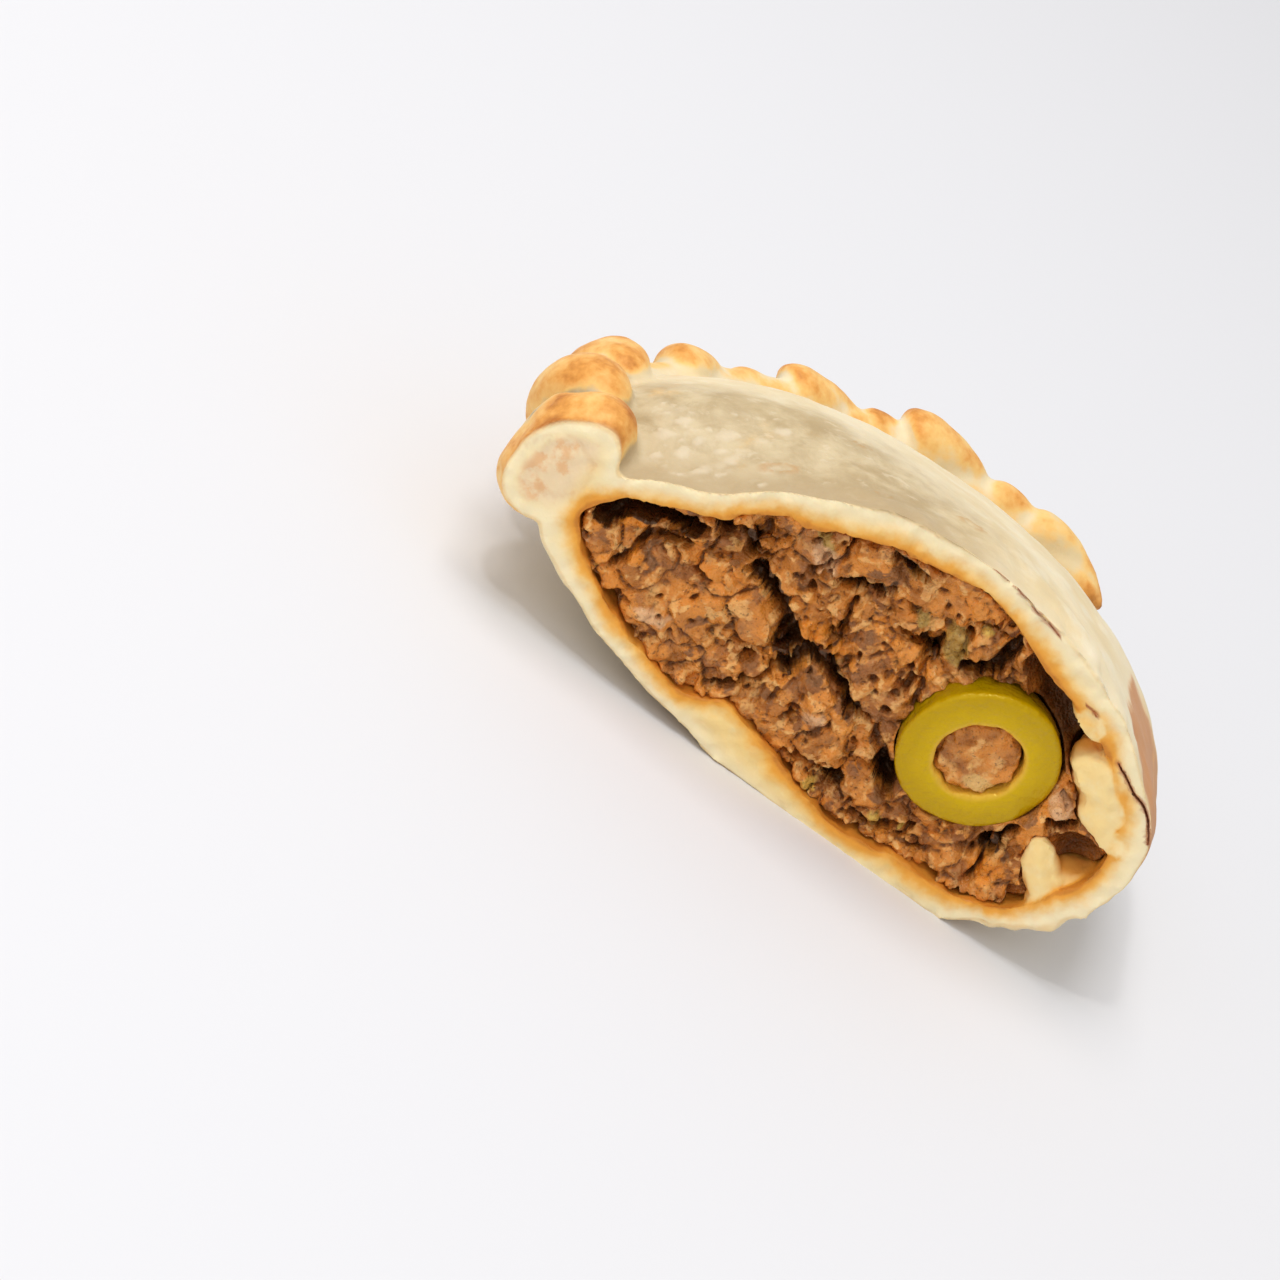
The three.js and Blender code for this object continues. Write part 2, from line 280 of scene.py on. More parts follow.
def carried(x, z, y, tip, wall):
    """Carries points of a cut outline back to the depths y, in a body whose tip lies at tip."""
    depth = np.clip(y, 0, tip)
    share = x / CUT_WIDTH
    left, right = crimp_side(depth, tip), fold_side(depth, tip)
    seam = SEAM_Z - SEAM_DROP * depth / TIP
    dome = 1 - (depth / tip) ** 2
    keel = (1 - 0.22 * depth / tip) * np.sqrt(1 - (depth / tip) ** 6)
    height = z - SEAM_Z
    evened = smoothstep(depth, 0, 16)
    over = (height * (1 - evened) + np.clip(arch(share) - wall, 0, None) * evened) * dome
    return np.stack([left + (right - left) * share, y,
                     seam + np.where(height > 0, over, height * keel)], axis=1)


def along_outline(outline, u, inset=0.0):
    """Points of the smooth closed curve through an outline, moved inwards by inset."""
    points = np.array(outline, float)
    count = len(points)
    at = np.floor(u * count).astype(int) % count
    f = (u * count - np.floor(u * count))[:, None]
    p0, p1, p2, p3 = (points[(at + k) % count] for k in (-1, 0, 1, 2))
    t0, t1 = (p2 - p0) / 2, (p3 - p1) / 2
    c2, c3 = 3 * (p2 - p1) - 2 * t0 - t1, 2 * (p1 - p2) + t0 + t1
    here = p1 + t0 * f + c2 * f ** 2 + c3 * f ** 3
    way = t0 + 2 * c2 * f + 3 * c3 * f ** 2
    way /= np.linalg.norm(way, axis=1)[:, None]
    return here + np.stack([way[:, 1], -way[:, 0]], axis=1) * inset


def pillow(outline, tip, wall, inset=0.0, around=240, along=150):
    """The whole pastry's form round an outline of the cut, or the form of its cavity."""
    front = 4

    def place(u, t, round_):
        back = 1 - 2 * t
        y = np.where(back > 0, tip, front) * back
        centre = np.array([CUT_WIDTH / 2, SEAM_Z])
        ring = along_outline(outline, u, inset) - centre
        ring = centre + ring * np.where(back > 0, 1, round_)[:, None]
        return carried(ring[:, 0], ring[:, 1], y, tip, wall)

    return moved_ball(around, along, place)


# ---- The crimp

ROPE_LENGTH = STRAIGHT + ROPE["radius"] * math.radians(ROPE["turn"])


def rope_at(distance):
    """The crimp's centre line at distances from the cut: its points, the way out and the way on."""
    angle = np.clip(distance - STRAIGHT, 0, None) / ROPE["radius"]
    fall = ROPE["drop"] * smoothstep(distance, 0, ROPE["level"])
    flat = np.zeros_like(angle)
    out = np.stack([-np.cos(angle), np.sin(angle), flat], axis=1)
    way = np.stack([np.sin(angle), np.cos(angle), flat], axis=1)
    centre = np.stack([flat + ROPE["x"] + ROPE["radius"], flat + STRAIGHT, ROPE["z"] - fall],
                      axis=1)
    before = np.clip(distance - STRAIGHT, None, 0)[:, None]
    return centre + out * ROPE["radius"] + way * before, out, way


def strand(around, along, path):
    """Rings along a path, closed at both ends. path(t) gives the middles and both half axes."""
    def place(u, t, round_):
        middle, side, up = path(t)
        swell = round_[:, None] ** 0.6
        angle = 2 * math.pi * u[:, None]
        return middle + (side * np.cos(angle) + up * np.sin(angle)) * swell

    return moved_ball(around, along, place)


def pleat(where, size, wide):
    """A leaf of dough that starts low outside, rises over the edge and tucks its tip in."""
    tilt = math.radians(PLEAT["tilt"])

    def path(t):
        angle = np.radians(PLEAT["low"] + (PLEAT["high"] - PLEAT["low"]) * t)
        point, out, way = rope_at(where + PLEAT["lead"] * (0.5 - t))
        rise = np.array([0, 0, 1])
        radial = out * np.cos(angle)[:, None] + rise * np.sin(angle)[:, None]
        end = np.where(t < 0.45, PLEAT["root"], PLEAT["tip"])
        swell = end + (1 - end) * np.sin(math.pi * np.where(t < 0.45, t / 0.9, (t + 0.1) / 1.1))
        reach = np.array([ROPE["wide"], ROPE["wide"], ROPE["tall"]])
        middle = point + radial * reach * (size - PLEAT["sunk"])
        side = way * math.cos(tilt) - radial * math.sin(tilt)
        up = radial * math.cos(tilt) + way * math.sin(tilt)
        swell = swell[:, None]
        return middle, side * wide * swell, up * PLEAT["thick"] * swell * size

    return strand(40, 30, path)


def rope_core():
    def path(t):
        point, out, _ = rope_at(-6 + (ROPE_LENGTH + 6) * t)
        rise = np.zeros_like(out) + [0, 0, ROPE["tall"] * CORE["tall"]]
        return point, out * ROPE["wide"] * CORE["wide"], rise

    return strand(32, 90, path)


# ---- Crust

# Rolls of dough that bulge into the filling beside the fold: middle, half sizes and turn.
FOLDS = [
    ((60.4, 3.2, 27.9), (2.7, 4.4, 1.5), (0, 0.4, 0)),
    ((64.8, 3.6, 22.7), (4.0, 4.5, 2.6), (0, 0.6, 0)),
    ((67.6, 3.8, 20.6), (3.2, 4.8, 3.0), (0, 0.9, 0)),
    ((70.2, 4.0, 18.5), (3.0, 5.0, 1.5), (0, 0.1, 0)),
    ((71.4, 5.6, 10.8), (4.0, 4.4, 2.4), (0, -0.3, 0)),
]
FLAP = dict(start=(69.6, 2.1, 7.6), stop=(64.9, 1.4, 13.5), wide=2.5, deep=2.2)


def flap(grow=0.0):
    """A wedge of the pastry that stands up from its lower wall inside the cavity."""
    start, stop = np.array(FLAP["start"]), np.array(FLAP["stop"])
    rise = (stop - start) * (1, 0, 1) / np.hypot(*(stop - start)[::2])

    def path(t):
        t = t[:, None]
        return (start + (stop - start) * t,
                np.array([rise[2], 0, -rise[0]]) * (FLAP["wide"] * (1 - t / 2) + grow),
                np.array([0, 1, 0]) * (FLAP["deep"] * (1 - t / 2) + grow))

    return strand(24, 24, path)


def slit(line, wide, thick):
    """A thin blade through the cut along a line of x and z, for a crack to be cut with."""
    line = np.array(line, float)

    def path(t):
        at = np.linspace(0, 1, len(line))
        x, z = np.interp(t, at, line[:, 0]), np.interp(t, at, line[:, 1])
        across = np.array([line[-1, 1] - line[0, 1], line[0, 0] - line[-1, 0]])
        across /= np.linalg.norm(across)
        flat = 0 * t
        return (np.stack([x, flat, z], axis=1), np.stack([flat, flat + wide, flat], axis=1),
                np.stack([flat + across[0], flat, flat + across[1]], axis=1) * thick)

    return strand(24, 40, path)


# Cracks in the cut pastry: a line of x and z, the half depth and half width of the blade.
CRACKS = [
    ([(65.5, 25.9), (66.9, 25.2), (68.8, 24.2), (70.1, 23.9), (71.5, 22.8), (73.1, 20.8)],
     1.0, 0.1),
    ([(43.0, 35.2), (45.4, 34.9), (48.7, 34.1), (52.4, 33.4)], 0.15, 0.04),
    ([(58.6, 29.5), (59.4, 29.5), (60.2, 29.1)], 0.4, 0.06),
]
# Crumbs of torn dough on the edge under the fold: a line of x and z, how many, their half sizes,
# how deep they sit and how far they stray.
FRAY = dict(line=[(66.9, 3.3), (69.0, 4.8), (71.3, 7.0), (73.1, 9.6), (74.2, 12.4)], count=15,
            size=(0.45, 1.1), deep=(0.3, 1.2), astray=0.35)
# Blisters: how many, and the lowest and highest x, y, half width, roundness and share of height.
BLISTERS = dict(count=46, ranges=[(8.5, 20), (1.8, 12), (0.25, 1.3), (0.4, 0.9), (0.25, 1)])
# Thin flakes of skin on the top: x, y and half length.
FLAKES = [(20.6, 5.2, 1.5), (39.6, 7.8, 1.3), (30.5, 4.4, 0.7), (27.0, 13.5, 0.9)]


def bubbles(points):
    """Small blisters on the top skin beside the crimp: how far each point is raised, 0 to 1."""
    draw = np.random.default_rng(3)
    raised = np.zeros(len(points))
    top = points[:, 2] > 16
    uneven = bent(points, 0.35, 1.3, 27)
    for _ in range(BLISTERS["count"]):
        x, y, wide, round_, full = (draw.uniform(*ends) for ends in BLISTERS["ranges"])
        away = np.hypot((uneven[:, 0] - x) / wide, (uneven[:, 1] - y) / (wide * round_))
        raised = np.maximum(raised, top * full * np.clip(1 - away ** 2, 0, 1))
    return raised


def flakes(points):
    """How far each point lies in the loose edge of a flake of skin, 0 to 1."""
    edge = np.zeros(len(points))
    for x, y, long_ in FLAKES:
        dx, dy = points[:, 0] - x, points[:, 1] - y
        away = np.hypot((dx + 0.4 * dy) / long_, (dy - 0.15 * dx) / (0.42 * long_))
        away += 0.2 * grain(points, 1.2, 17)
        edge = np.maximum(edge, smoothstep(-np.abs(away - 1), -0.4, -0.1) * (points[:, 2] > 16))
    return edge


def strayed(points):
    """Gentle bends of the cut's outlines, alike for the pastry and for what lies in it."""
    share = 1 - smoothstep(points[:, 1], 3, 14)
    x, z = (0.42 * grain(points, 5.5, seed) + 0.14 * grain(points, 1.9, seed + 1)
            for seed in (111, 121))
    held = smoothstep(points[:, 2], 1.5, 6) * share
    return points + np.stack([share * x, 0 * x, held * z], axis=1)


def rolled(points):
    """The groove that the rolled dough shows where the crimp is cut, 0 to 1."""
    x, z = points[:, 0] - 2.8, (points[:, 2] - 16.2) / 1.3
    turn = np.arctan2(z, x) + math.pi
    away = np.abs(np.hypot(x, z) - 1.5 - 0.36 * turn - 0.25 * grain(points, 2, 15))
    return smoothstep(-away, -0.32, -0.05) * (points[:, 0] < 9) * smoothstep(turn, 0.4, 1.4)


def nearest(tree, points):
    """The nearest places of a surface to points, and how far the points stand out of it."""
    spots, heights = np.empty_like(points), np.empty(len(points))
    for index, p in enumerate((points - MIDDLE) * MM):
        spot, normal, _, away = tree.find_nearest(Vector(p))
        spots[index] = spot
        heights[index] = math.copysign(away, (Vector(p) - spot).dot(normal))
    return spots / MM + MIDDLE, heights / MM


def softened(obj, times):
    """The points and normals of a smoothed copy."""
    soft = obj.copy()
    soft.data = obj.data.copy()
    bpy.context.scene.collection.objects.link(soft)
    smooth(soft, 0.5, times)
    found = places(soft), facing(soft)
    bpy.data.objects.remove(soft)
    return found


def standing_out(obj, times):
    """How far points stand out from a much smoothed copy."""
    out = np.sum((places(obj) - softened(obj, times)[0]) * facing(obj), axis=1)
    return np.clip(out, -1.5, 1.5)


def torn_edge():
    """Crumbs of dough along the torn edge."""
    draw = np.random.default_rng(23)
    for at in np.linspace(0, 1, FRAY["count"]):
        x, z = (np.interp(at, np.linspace(0, 1, len(FRAY["line"])), column)
                for column in zip(*FRAY["line"]))
        size = draw.uniform(*FRAY["size"], 3)
        place = np.array([x, draw.uniform(*FRAY["deep"]), z])
        place += draw.uniform(-FRAY["astray"], FRAY["astray"], 3)
        yield lump(place, size, draw.uniform(0, 3, 3), 2)


def thin_out_of_sight(dough, inner, outer):
    """Thins the faces deep in the cavity, and puts back the points that this throws out."""
    points = places(dough)
    hidden = (np.abs(nearest(inner, points)[1]) < INNER_SKIN) & (points[:, 1] > 7)
    group = dough.vertex_groups.new(name="hidden")
    group.add([int(i) for i in np.nonzero(hidden)[0]], 1.0, "REPLACE")
    finish_with(dough, "DECIMATE", ratio=0.1, vertex_group="hidden")
    dough.vertex_groups.clear()
    points = places(dough)
    spots, height = nearest(outer, points)
    return move_to(dough, np.where(height[:, None] > STRAY, spots, points))


def make_crust():
    rope = [pleat(*row) for row in PLEATS] + [rope_core(), lump(*CUT_PLEAT), *torn_edge()]
    body = pillow(OUTSIDE, TIP, 0)
    plain_body = surface(body)
    dough = join([body] + rope, "baked_crust")
    smooth(remesh(dough, DOUGH_GRAIN), 0.5, 2)
    outer = surface(dough)

    cavity = pillow(INSIDE, TIP - TIP_WALL, WALL)
    inner = surface(cavity)
    combine(dough, cavity, "DIFFERENCE")
    folds = remesh(join([lump(*row) for row in FOLDS] + [flap()], "folds"), DOUGH_GRAIN)
    combine(folds, pillow(OUTSIDE, TIP, 0, 1.2, 160, 90), "INTERSECT")
    fold_skin = surface(folds)
    combine(dough, folds, "UNION")
    combine(dough, block((-30, 0, 0), (110, 90, 70)), "INTERSECT")
    smooth(remesh(dough, CUT_GRAIN), 0.5, 3)
    for crack in CRACKS:
        combine(dough, slit(*crack), "DIFFERENCE")
    thin_out_of_sight(dough, inner, outer)

    points, normals = places(dough), facing(dough)
    near, rind, crimp, folded = (nearest(tree, points)[1]
                                 for tree in (inner, outer, plain_body, fold_skin))
    near, rind, crimp = np.abs(near), np.abs(rind), np.abs(crimp)
    crimp = smoothstep(crimp, 0.5, 2.0) * smoothstep(near, 1, 2)
    cut = smoothstep(-softened(dough, 6)[1][:, 1], 0.5, 0.85)
    cut *= smoothstep(-points[:, 1], -1.2, -0.6)
    base = smoothstep(-normals[:, 2], 0.7, 0.95) * smoothstep(-points[:, 2], -0.8, -0.3)
    relief = 0.28 * grain(points, 11, 3, 2) + 0.08 * grain(points, 2.4, 5, 2)
    relief += 0.05 * grain(points * (0.4, 1, 1), 3.4, 13, 2) * smoothstep(points[:, 2], 16, 22)
    folded = smoothstep(-folded, -0.3, 0.05)
    relief += folded * (0.5 * grain(points, 2.6, 25) + 0.2 * grain(points, 1.0, 26, 2))
    inner_relief = 0.30 * grain(points, 2.6, 7, 2) + 0.12 * grain(points, 0.9, 8)
    relief = np.where(near < INNER_SKIN, inner_relief, relief)
    points += normals * ((1 - cut) * (1 - base) * relief)[:, None]
    move_to(dough, points)
    crest = standing_out(dough, 80)
    raised, flaked = bubbles(points), flakes(points)
    layer = rolled(points) * cut
    points += normals * ((1 - cut) * (0.2 * raised + 0.15 * flaked))[:, None]
    points[:, 1] += cut * (0.2 + 0.22 * grain(points, 1.2, 9, 3) + 0.1 * layer)
    # cracked marks the crack lines, which the finish paints partly as shade in the crack and partly
    # as the red-brown of juice.
    cracked = np.zeros(len(points))
    for line, wide, thick in CRACKS:
        beside_it = smoothstep(-beside(points, line), -thick - 0.16, -thick - 0.03)
        cracked = np.maximum(cracked, beside_it * (points[:, 1] < wide + 0.2))
    points = strayed(points)
    points[:, 1:] = np.clip(points[:, 1:], 0, None)
    move_to(dough, points)
    store(dough, cut=cut, near=near + 1.3 * folded, rind=rind, crest=crest, bubble=raised,
          layer=layer, crimp=crimp, cracked=cracked, flake=flaked)
    return dough


# ---- Filling

def in_room(x, z, inset):
    """How far points lie inside the cavity's outline at the cut, less an inset."""
    ring = along_outline(INSIDE, np.linspace(0, 1, 400, endpoint=False))
    gap = np.linalg.norm(ring[None] - np.stack([x, z], axis=1)[:, None], axis=2).min(axis=1)
    nxt = np.roll(ring, -1, axis=0)
    above = (ring[None, :, 1] > z[:, None]) != (nxt[None, :, 1] > z[:, None])
    rise = np.where(nxt[:, 1] == ring[:, 1], 1e-9, nxt[:, 1] - ring[:, 1])
    lean = (nxt[:, 0] - ring[:, 0]) / rise
    meets = ring[None, :, 0] + (z[:, None] - ring[None, :, 1]) * lean[None]
    inside = (above & (x[:, None] < meets)).sum(axis=1) % 2 == 1
    return np.where(inside, gap, -gap) - inset


# The larger lumps of mince at the cut: place, half sizes, turn in degrees and depth of the face.
MASSES = [
    (22.6, 12.3, 8.6, 6.2, 8, 0.7), (39.2, 9.6, 5.6, 4.6, -10, 0.9),
    (42.2, 18.2, 5.6, 5.0, -35, 0.6), (37.4, 21.4, 3.2, 3.2, 0, 1.2),
    (27.6, 23.6, 3.6, 2.5, -25, 0.9), (33.8, 27.0, 3.4, 2.4, 10, 1.0),
    (40.6, 29.0, 3.6, 2.2, 5, 1.3), (48.2, 27.2, 3.2, 2.6, 0, 0.8),
    (20.4, 20.4, 3.0, 1.7, 30, 1.3), (13.0, 16.2, 2.6, 1.9, 20, 0.7),
    (10.8, 12.6, 2.4, 1.9, 0, 1.1), (14.6, 11.2, 2.2, 1.8, 30, 0.9),
    (45.4, 6.2, 3.4, 2.4, -5, 1.4), (52.4, 5.6, 3.0, 2.2, 10, 1.2), (58.6, 5.8, 3.0, 2.4, 0, 0.8),
    (63.2, 8.2, 2.6, 2.0, 20, 1.5), (33.4, 6.4, 2.6, 1.6, -15, 1.2),
    (63.8, 14.2, 1.7, 1.4, 0, 1.0), (46.6, 13.2, 2.2, 2.6, 0, 1.6),
    (30.6, 19.6, 2.0, 1.9, 0, 1.5), (17.2, 7.9, 2.4, 1.3, -25, 1.3),
]
# Gaps that run between the lumps, sunk and painted dark as shade: a line of x and z, its half width
# and depth.
GAPS = [
    ([(24.8, 19.4), (26.7, 19.2), (29.6, 17.8), (31.4, 16.4), (32.6, 14.6)], 0.8, 3.6),
    ([(32.6, 14.6), (32.9, 11.4), (30.7, 8.4), (28.2, 6.9)], 0.5, 2.4),
    ([(31.4, 16.2), (33.9, 15.7), (35.6, 15.6), (37.6, 14.8), (39.5, 13.9), (41.4, 13.1)],
     0.55, 3.2),
    ([(33.4, 11.8), (33.8, 13.6), (34.4, 15.2)], 0.6, 2.8),
    ([(31.9, 23.7), (33.9, 24.7), (35.7, 25.3)], 0.7, 3.4),
    ([(35.6, 15.6), (35.2, 19.3), (34.4, 22.4)], 0.4, 2.0),
    ([(19.0, 22.0), (19.6, 21.2)], 0.9, 3.6),
    ([(20.6, 22.2), (22.4, 22.5), (23.7, 20.9)], 0.45, 2.4),
    ([(35.1, 29.9), (37.0, 29.7), (38.6, 29.9)], 0.5, 3.0),
    ([(47.2, 9.7), (48.8, 9.1), (48.9, 8.0)], 1.0, 4.4),
    ([(38.6, 4.9), (42.5, 5.6), (46.4, 4.3)], 0.45, 1.8),
    ([(8.9, 14.8), (10.0, 16.6), (12.2, 18.0), (14.6, 18.7), (17.4, 19.4)], 1.0, 5.4),
    ([(13.1, 10.6), (13.6, 13.6), (14.2, 15.6), (17.6, 17.6)], 0.45, 2.2),
    ([(43.4, 24.9), (43.9, 21.9), (46.0, 18.4)], 0.4, 1.8),
    ([(41.6, 13.4), (44.5, 12.6), (47.3, 10.2)], 0.4, 1.8),
    ([(47.4, 2.9), (50.9, 4.0), (54.3, 6.0)], 0.4, 1.8),
    ([(47.3, 24.0), (49.6, 26.2), (50.0, 29.6)], 0.8, 3.6),
    ([(29.2, 23.2), (30.6, 26.0), (31.0, 28.2)], 0.35, 1.6),
    ([(61.9, 5.2), (61.4, 9.4), (62.6, 12.0)], 0.5, 2.4),
    ([(64.9, 15.6), (66.6, 16.6)], 0.6, 3.0),
]
# Pockets, sunk and painted dark as shade: x and z, half sizes, turn in degrees and depth.
POCKETS = [
    (27.2, 18.9, 2.3, 0.9, -25, 5), (31.9, 15.0, 1.5, 1.7, 0, 3), (34.6, 15.6, 1.9, 0.8, 0, 4),
    (33.8, 24.5, 1.1, 0.6, 20, 5), (18.9, 21.7, 0.9, 0.8, 0, 5), (22.5, 22.2, 1.6, 0.6, -10, 3),
    (48.3, 9.3, 1.1, 1.4, 0, 5), (13.0, 17.9, 3.4, 0.9, 22, 5), (9.6, 15.4, 1.2, 1.4, 0, 4),
    (41.2, 13.2, 0.7, 0.9, 30, 4), (36.8, 29.6, 1.5, 0.6, 5, 4), (44.2, 5.4, 1.6, 0.9, 0, 3),
    (36.6, 26.6, 0.5, 0.5, 0, 3), (43.4, 23.4, 0.5, 0.5, 0, 3), (29.4, 11.2, 0.4, 0.7, 0, 2),
    (36.6, 8.2, 0.8, 0.5, 30, 2), (61.6, 9.6, 0.8, 1.6, 0, 4),
]
# Bits of vegetable and pale crumbs by colour: x and z, half sizes and turn in degrees.
BITS = dict(
    pale=[(7.9, 11.5, 1.5, 0.5, 8), (19.3, 9.0, 1.7, 0.8, 20), (29.3, 25.2, 1.9, 1.2, -20),
          (39.0, 10.0, 1.1, 0.9, 30), (64.3, 17.8, 1.3, 1.1, 0)],
    gold=[(46.6, 28.7, 0.6, 0.5, 0), (53.2, 5.6, 0.5, 0.45, 0), (42.8, 3.2, 1.0, 0.7, 20),
          (50.6, 4.4, 1.0, 0.6, 0)],
    green=[(45.0, 25.8, 2.5, 1.3, -55), (27.6, 27.3, 2.6, 0.7, -35), (40.9, 26.2, 0.9, 0.8, 0)],
    rust=[(33.0, 17.6, 1.6, 1.1, -15), (11.4, 16.0, 2.0, 0.9, 25), (36.4, 17.2, 1.3, 1.5, 0),
          (44.7, 21.4, 1.0, 0.8, 0), (62.8, 7.0, 2.0, 1.3, 15), (14.4, 13.2, 1.0, 0.7, 0)],
)


def beside(points, line):
    """How far points lie from a line of x and z."""
    flat, line = points[:, [0, 2]], np.array(line, float)
    away = np.full(len(points), 99.0)
    for start, stop in zip(line, line[1:]):
        way = stop - start
        share = np.clip((flat - start) @ way / (way @ way), 0, 1)[:, None]
        away = np.minimum(away, np.linalg.norm(flat - start - way * share, axis=1))
    return away


def in_oval(points, x, z, wide, tall, turn):
    """How far points lie from an oval's middle, next to its edge."""
    a = math.radians(turn)
    dx, dz = points[:, 0] - x, points[:, 2] - z
    along, across = dx * math.cos(a) + dz * math.sin(a), dz * math.cos(a) - dx * math.sin(a)
    return np.hypot(along / wide, across / tall)


def gaps(points):
    """How deep the gaps between the lumps are at each point."""
    uneven = bent(points, 0.5, 1.8, 65)
    depth = 1.8 * smoothstep(grain(points, 2.3, 67, 2), 0.75, 1.05)
    depth += 0.8 * smoothstep(grain(points, 1.1, 68), 0.5, 0.7)
    for line, wide, deep in GAPS:
        depth = np.maximum(depth, deep * smoothstep(-beside(uneven, line) / wide, -1.25, -0.55))
    for *oval, deep in POCKETS:
        depth = np.maximum(depth, deep * smoothstep(-in_oval(uneven, *oval), -1.25, -0.9))
    return depth


def bits(points, kind):
    """1 on the bits of a colour and 0 elsewhere."""
    uneven = bent(points, 0.35, 1.1, 69)
    amount = np.zeros(len(points))
    for oval in BITS[kind]:
        amount = np.maximum(amount, smoothstep(-in_oval(uneven, *oval), -1.15, -0.85))
    return amount * (points[:, 1] < 3)


def broken(unit, size, seed):
    """A unit ball's points made uneven, like a torn crumb of the given size."""
    blunt = 1 + 0.30 * grain(unit + seed, 0.9, 21, 2)
    facets, _ = cells(unit + seed * 1.7, 0.75, 23)
    return unit * (blunt - 0.10 * smoothstep(-facets, -0.25, 0))[:, None] * size


def cut_flat(points, knife):
    """Presses what stands in front of the knife's depth back to it, leaving a little relief."""
    y = points[:, 1]
    points[:, 1] = np.where(y < knife, knife + 0.3 * (y - knife), y)
    return points


def turned(points, angle, axis):
    return points @ np.array(Matrix.Rotation(angle, 3, axis)).T


def scattered(draw, count, low, high, deep, inset):
    """Crumbs at random places inside the cavity: rows of x, y, z and size."""
    x, z = draw.uniform(7, 72, count * 3), draw.uniform(1.5, 33, count * 3)
    size = draw.uniform(low, high, count * 3)
    y = draw.uniform(deep[0], deep[1], count * 3)
    fits = in_room(x, z, inset) > size * 0.7
    return np.stack([x, y, z, size], axis=1)[fits][:count]


def edge_crumbs(draw, count):
    """Crumbs pressed against the pastry all round the cut."""
    size, u = draw.uniform(0.6, 1.35, count), draw.uniform(0, 1, count)
    ring = np.array([along_outline(INSIDE, np.array([at]), 0.25 + 0.7 * big)[0]
                     for at, big in zip(u, size)])
    return np.stack([ring[:, 0], draw.uniform(0.9, 2.2, count), ring[:, 1], size], axis=1)


def copies(name, detail, shapes):
    """One mesh of many balls, each with its points moved by a function of the unit ball."""
    bpy.ops.mesh.primitive_ico_sphere_add(subdivisions=detail, radius=1)
    seed = bpy.context.object
    unit = np.array([v.co for v in seed.data.vertices])
    faces = np.array([list(p.vertices) for p in seed.data.polygons])
    bpy.data.objects.remove(seed)
    points = (np.concatenate([shape(unit) for shape in shapes]) - MIDDLE) * MM
    faces = np.concatenate([faces + k * len(unit) for k in range(len(shapes))])
    mesh = bpy.data.meshes.new(name)
    mesh.from_pydata(points.tolist(), [], faces.tolist())
    obj = bpy.data.objects.new(name, mesh)
    bpy.context.scene.collection.objects.link(obj)
    return obj


def mass_shape(index, x, z, wide, tall, turn, front):
    def shape(unit):
        points = unit * (wide, 3.6, tall)
        rough = 0.20 * grain(points + index * 9.1, 3.0, 33, 2) + 0.06 * grain(points, 1.1, 34, 2)
        points = turned(points * (1 + rough)[:, None], math.radians(-turn), "Y")
        return cut_flat(points + (x, front + 2.4, z), front)

    return shape


def crumb_shape(draw, index, x, y, z, size):
    stretch = draw.uniform((0.8, 0.7, 0.7), (1.35, 1.0, 1.1)) * size
    axis, angle = Vector(draw.uniform(-1, 1, 3)).normalized(), draw.uniform(0, 6)
    knife = draw.uniform(0.4, 1.1)

    def shape(unit):
        return cut_flat(turned(broken(unit, stretch, index * 7.3), angle, axis) + (x, y, z), knife)

    return shape


def domed(edge):
    """A rounded top for a cell: 0 inside it, and down to -1 at its border."""
    return np.sqrt(np.clip(edge / 0.5, 0, 1)) - 1


def crumbled(points):
    """Cracks and steps between the crumbs, as moves out of the cut, and two random numbers: one
    for each crumb and one for each grain."""
    uneven = bent(points, 0.5, 2.2, 51)
    lump_edge, lump_own = cells(uneven, 5.4, 81)
    crumb_edge, crumb_own = cells(uneven * (1, 0.6, 1), 2.3, 85)
    grit_edge, grit_own = cells(uneven * (1, 0.6, 1), 1.05, 89)
    parted = smoothstep(grain(points, 7, 99), -0.5, 0.1)
    loose = smoothstep(grain(points, 5, 95), -0.3, 0.4)
    out = 0.3 * lump_own - 0.8 * parted * smoothstep(-lump_edge, -0.12, -0.01)
    out += (0.2 + 0.8 * loose) * (0.22 * crumb_own + 0.6 * domed(crumb_edge))
    out += (0.45 + 0.55 * loose) * (0.06 * grit_own + 0.24 * domed(grit_edge))
    out += 0.3 * grain(points, 4, 45, 2) + 0.07 * grain(points, 0.7, 47, 2)
    return out, crumb_own, grit_own


# Loose crumbs: how many, smallest and largest half size, nearest and farthest place behind the
# cut, and how far they stay from the pastry.
CRUMBS = [(170, 1.2, 2.2, (1.9, 3.4), 0.2), (300, 0.7, 1.3, (1.3, 2.9), 0.1),
          (300, 0.4, 0.7, (0.8, 2.0), 0.1)]
# Empty places under the upper wall and beside the flap: middle, half sizes and turn.
HOLLOWS = [((58.2, 0.5, 26.2), (7.8, 6, 3.0), (0, 0.55, 0)),
           ((69.6, 0.6, 13.2), (3.9, 4.0, 3.9), (0, -0.3, 0))]


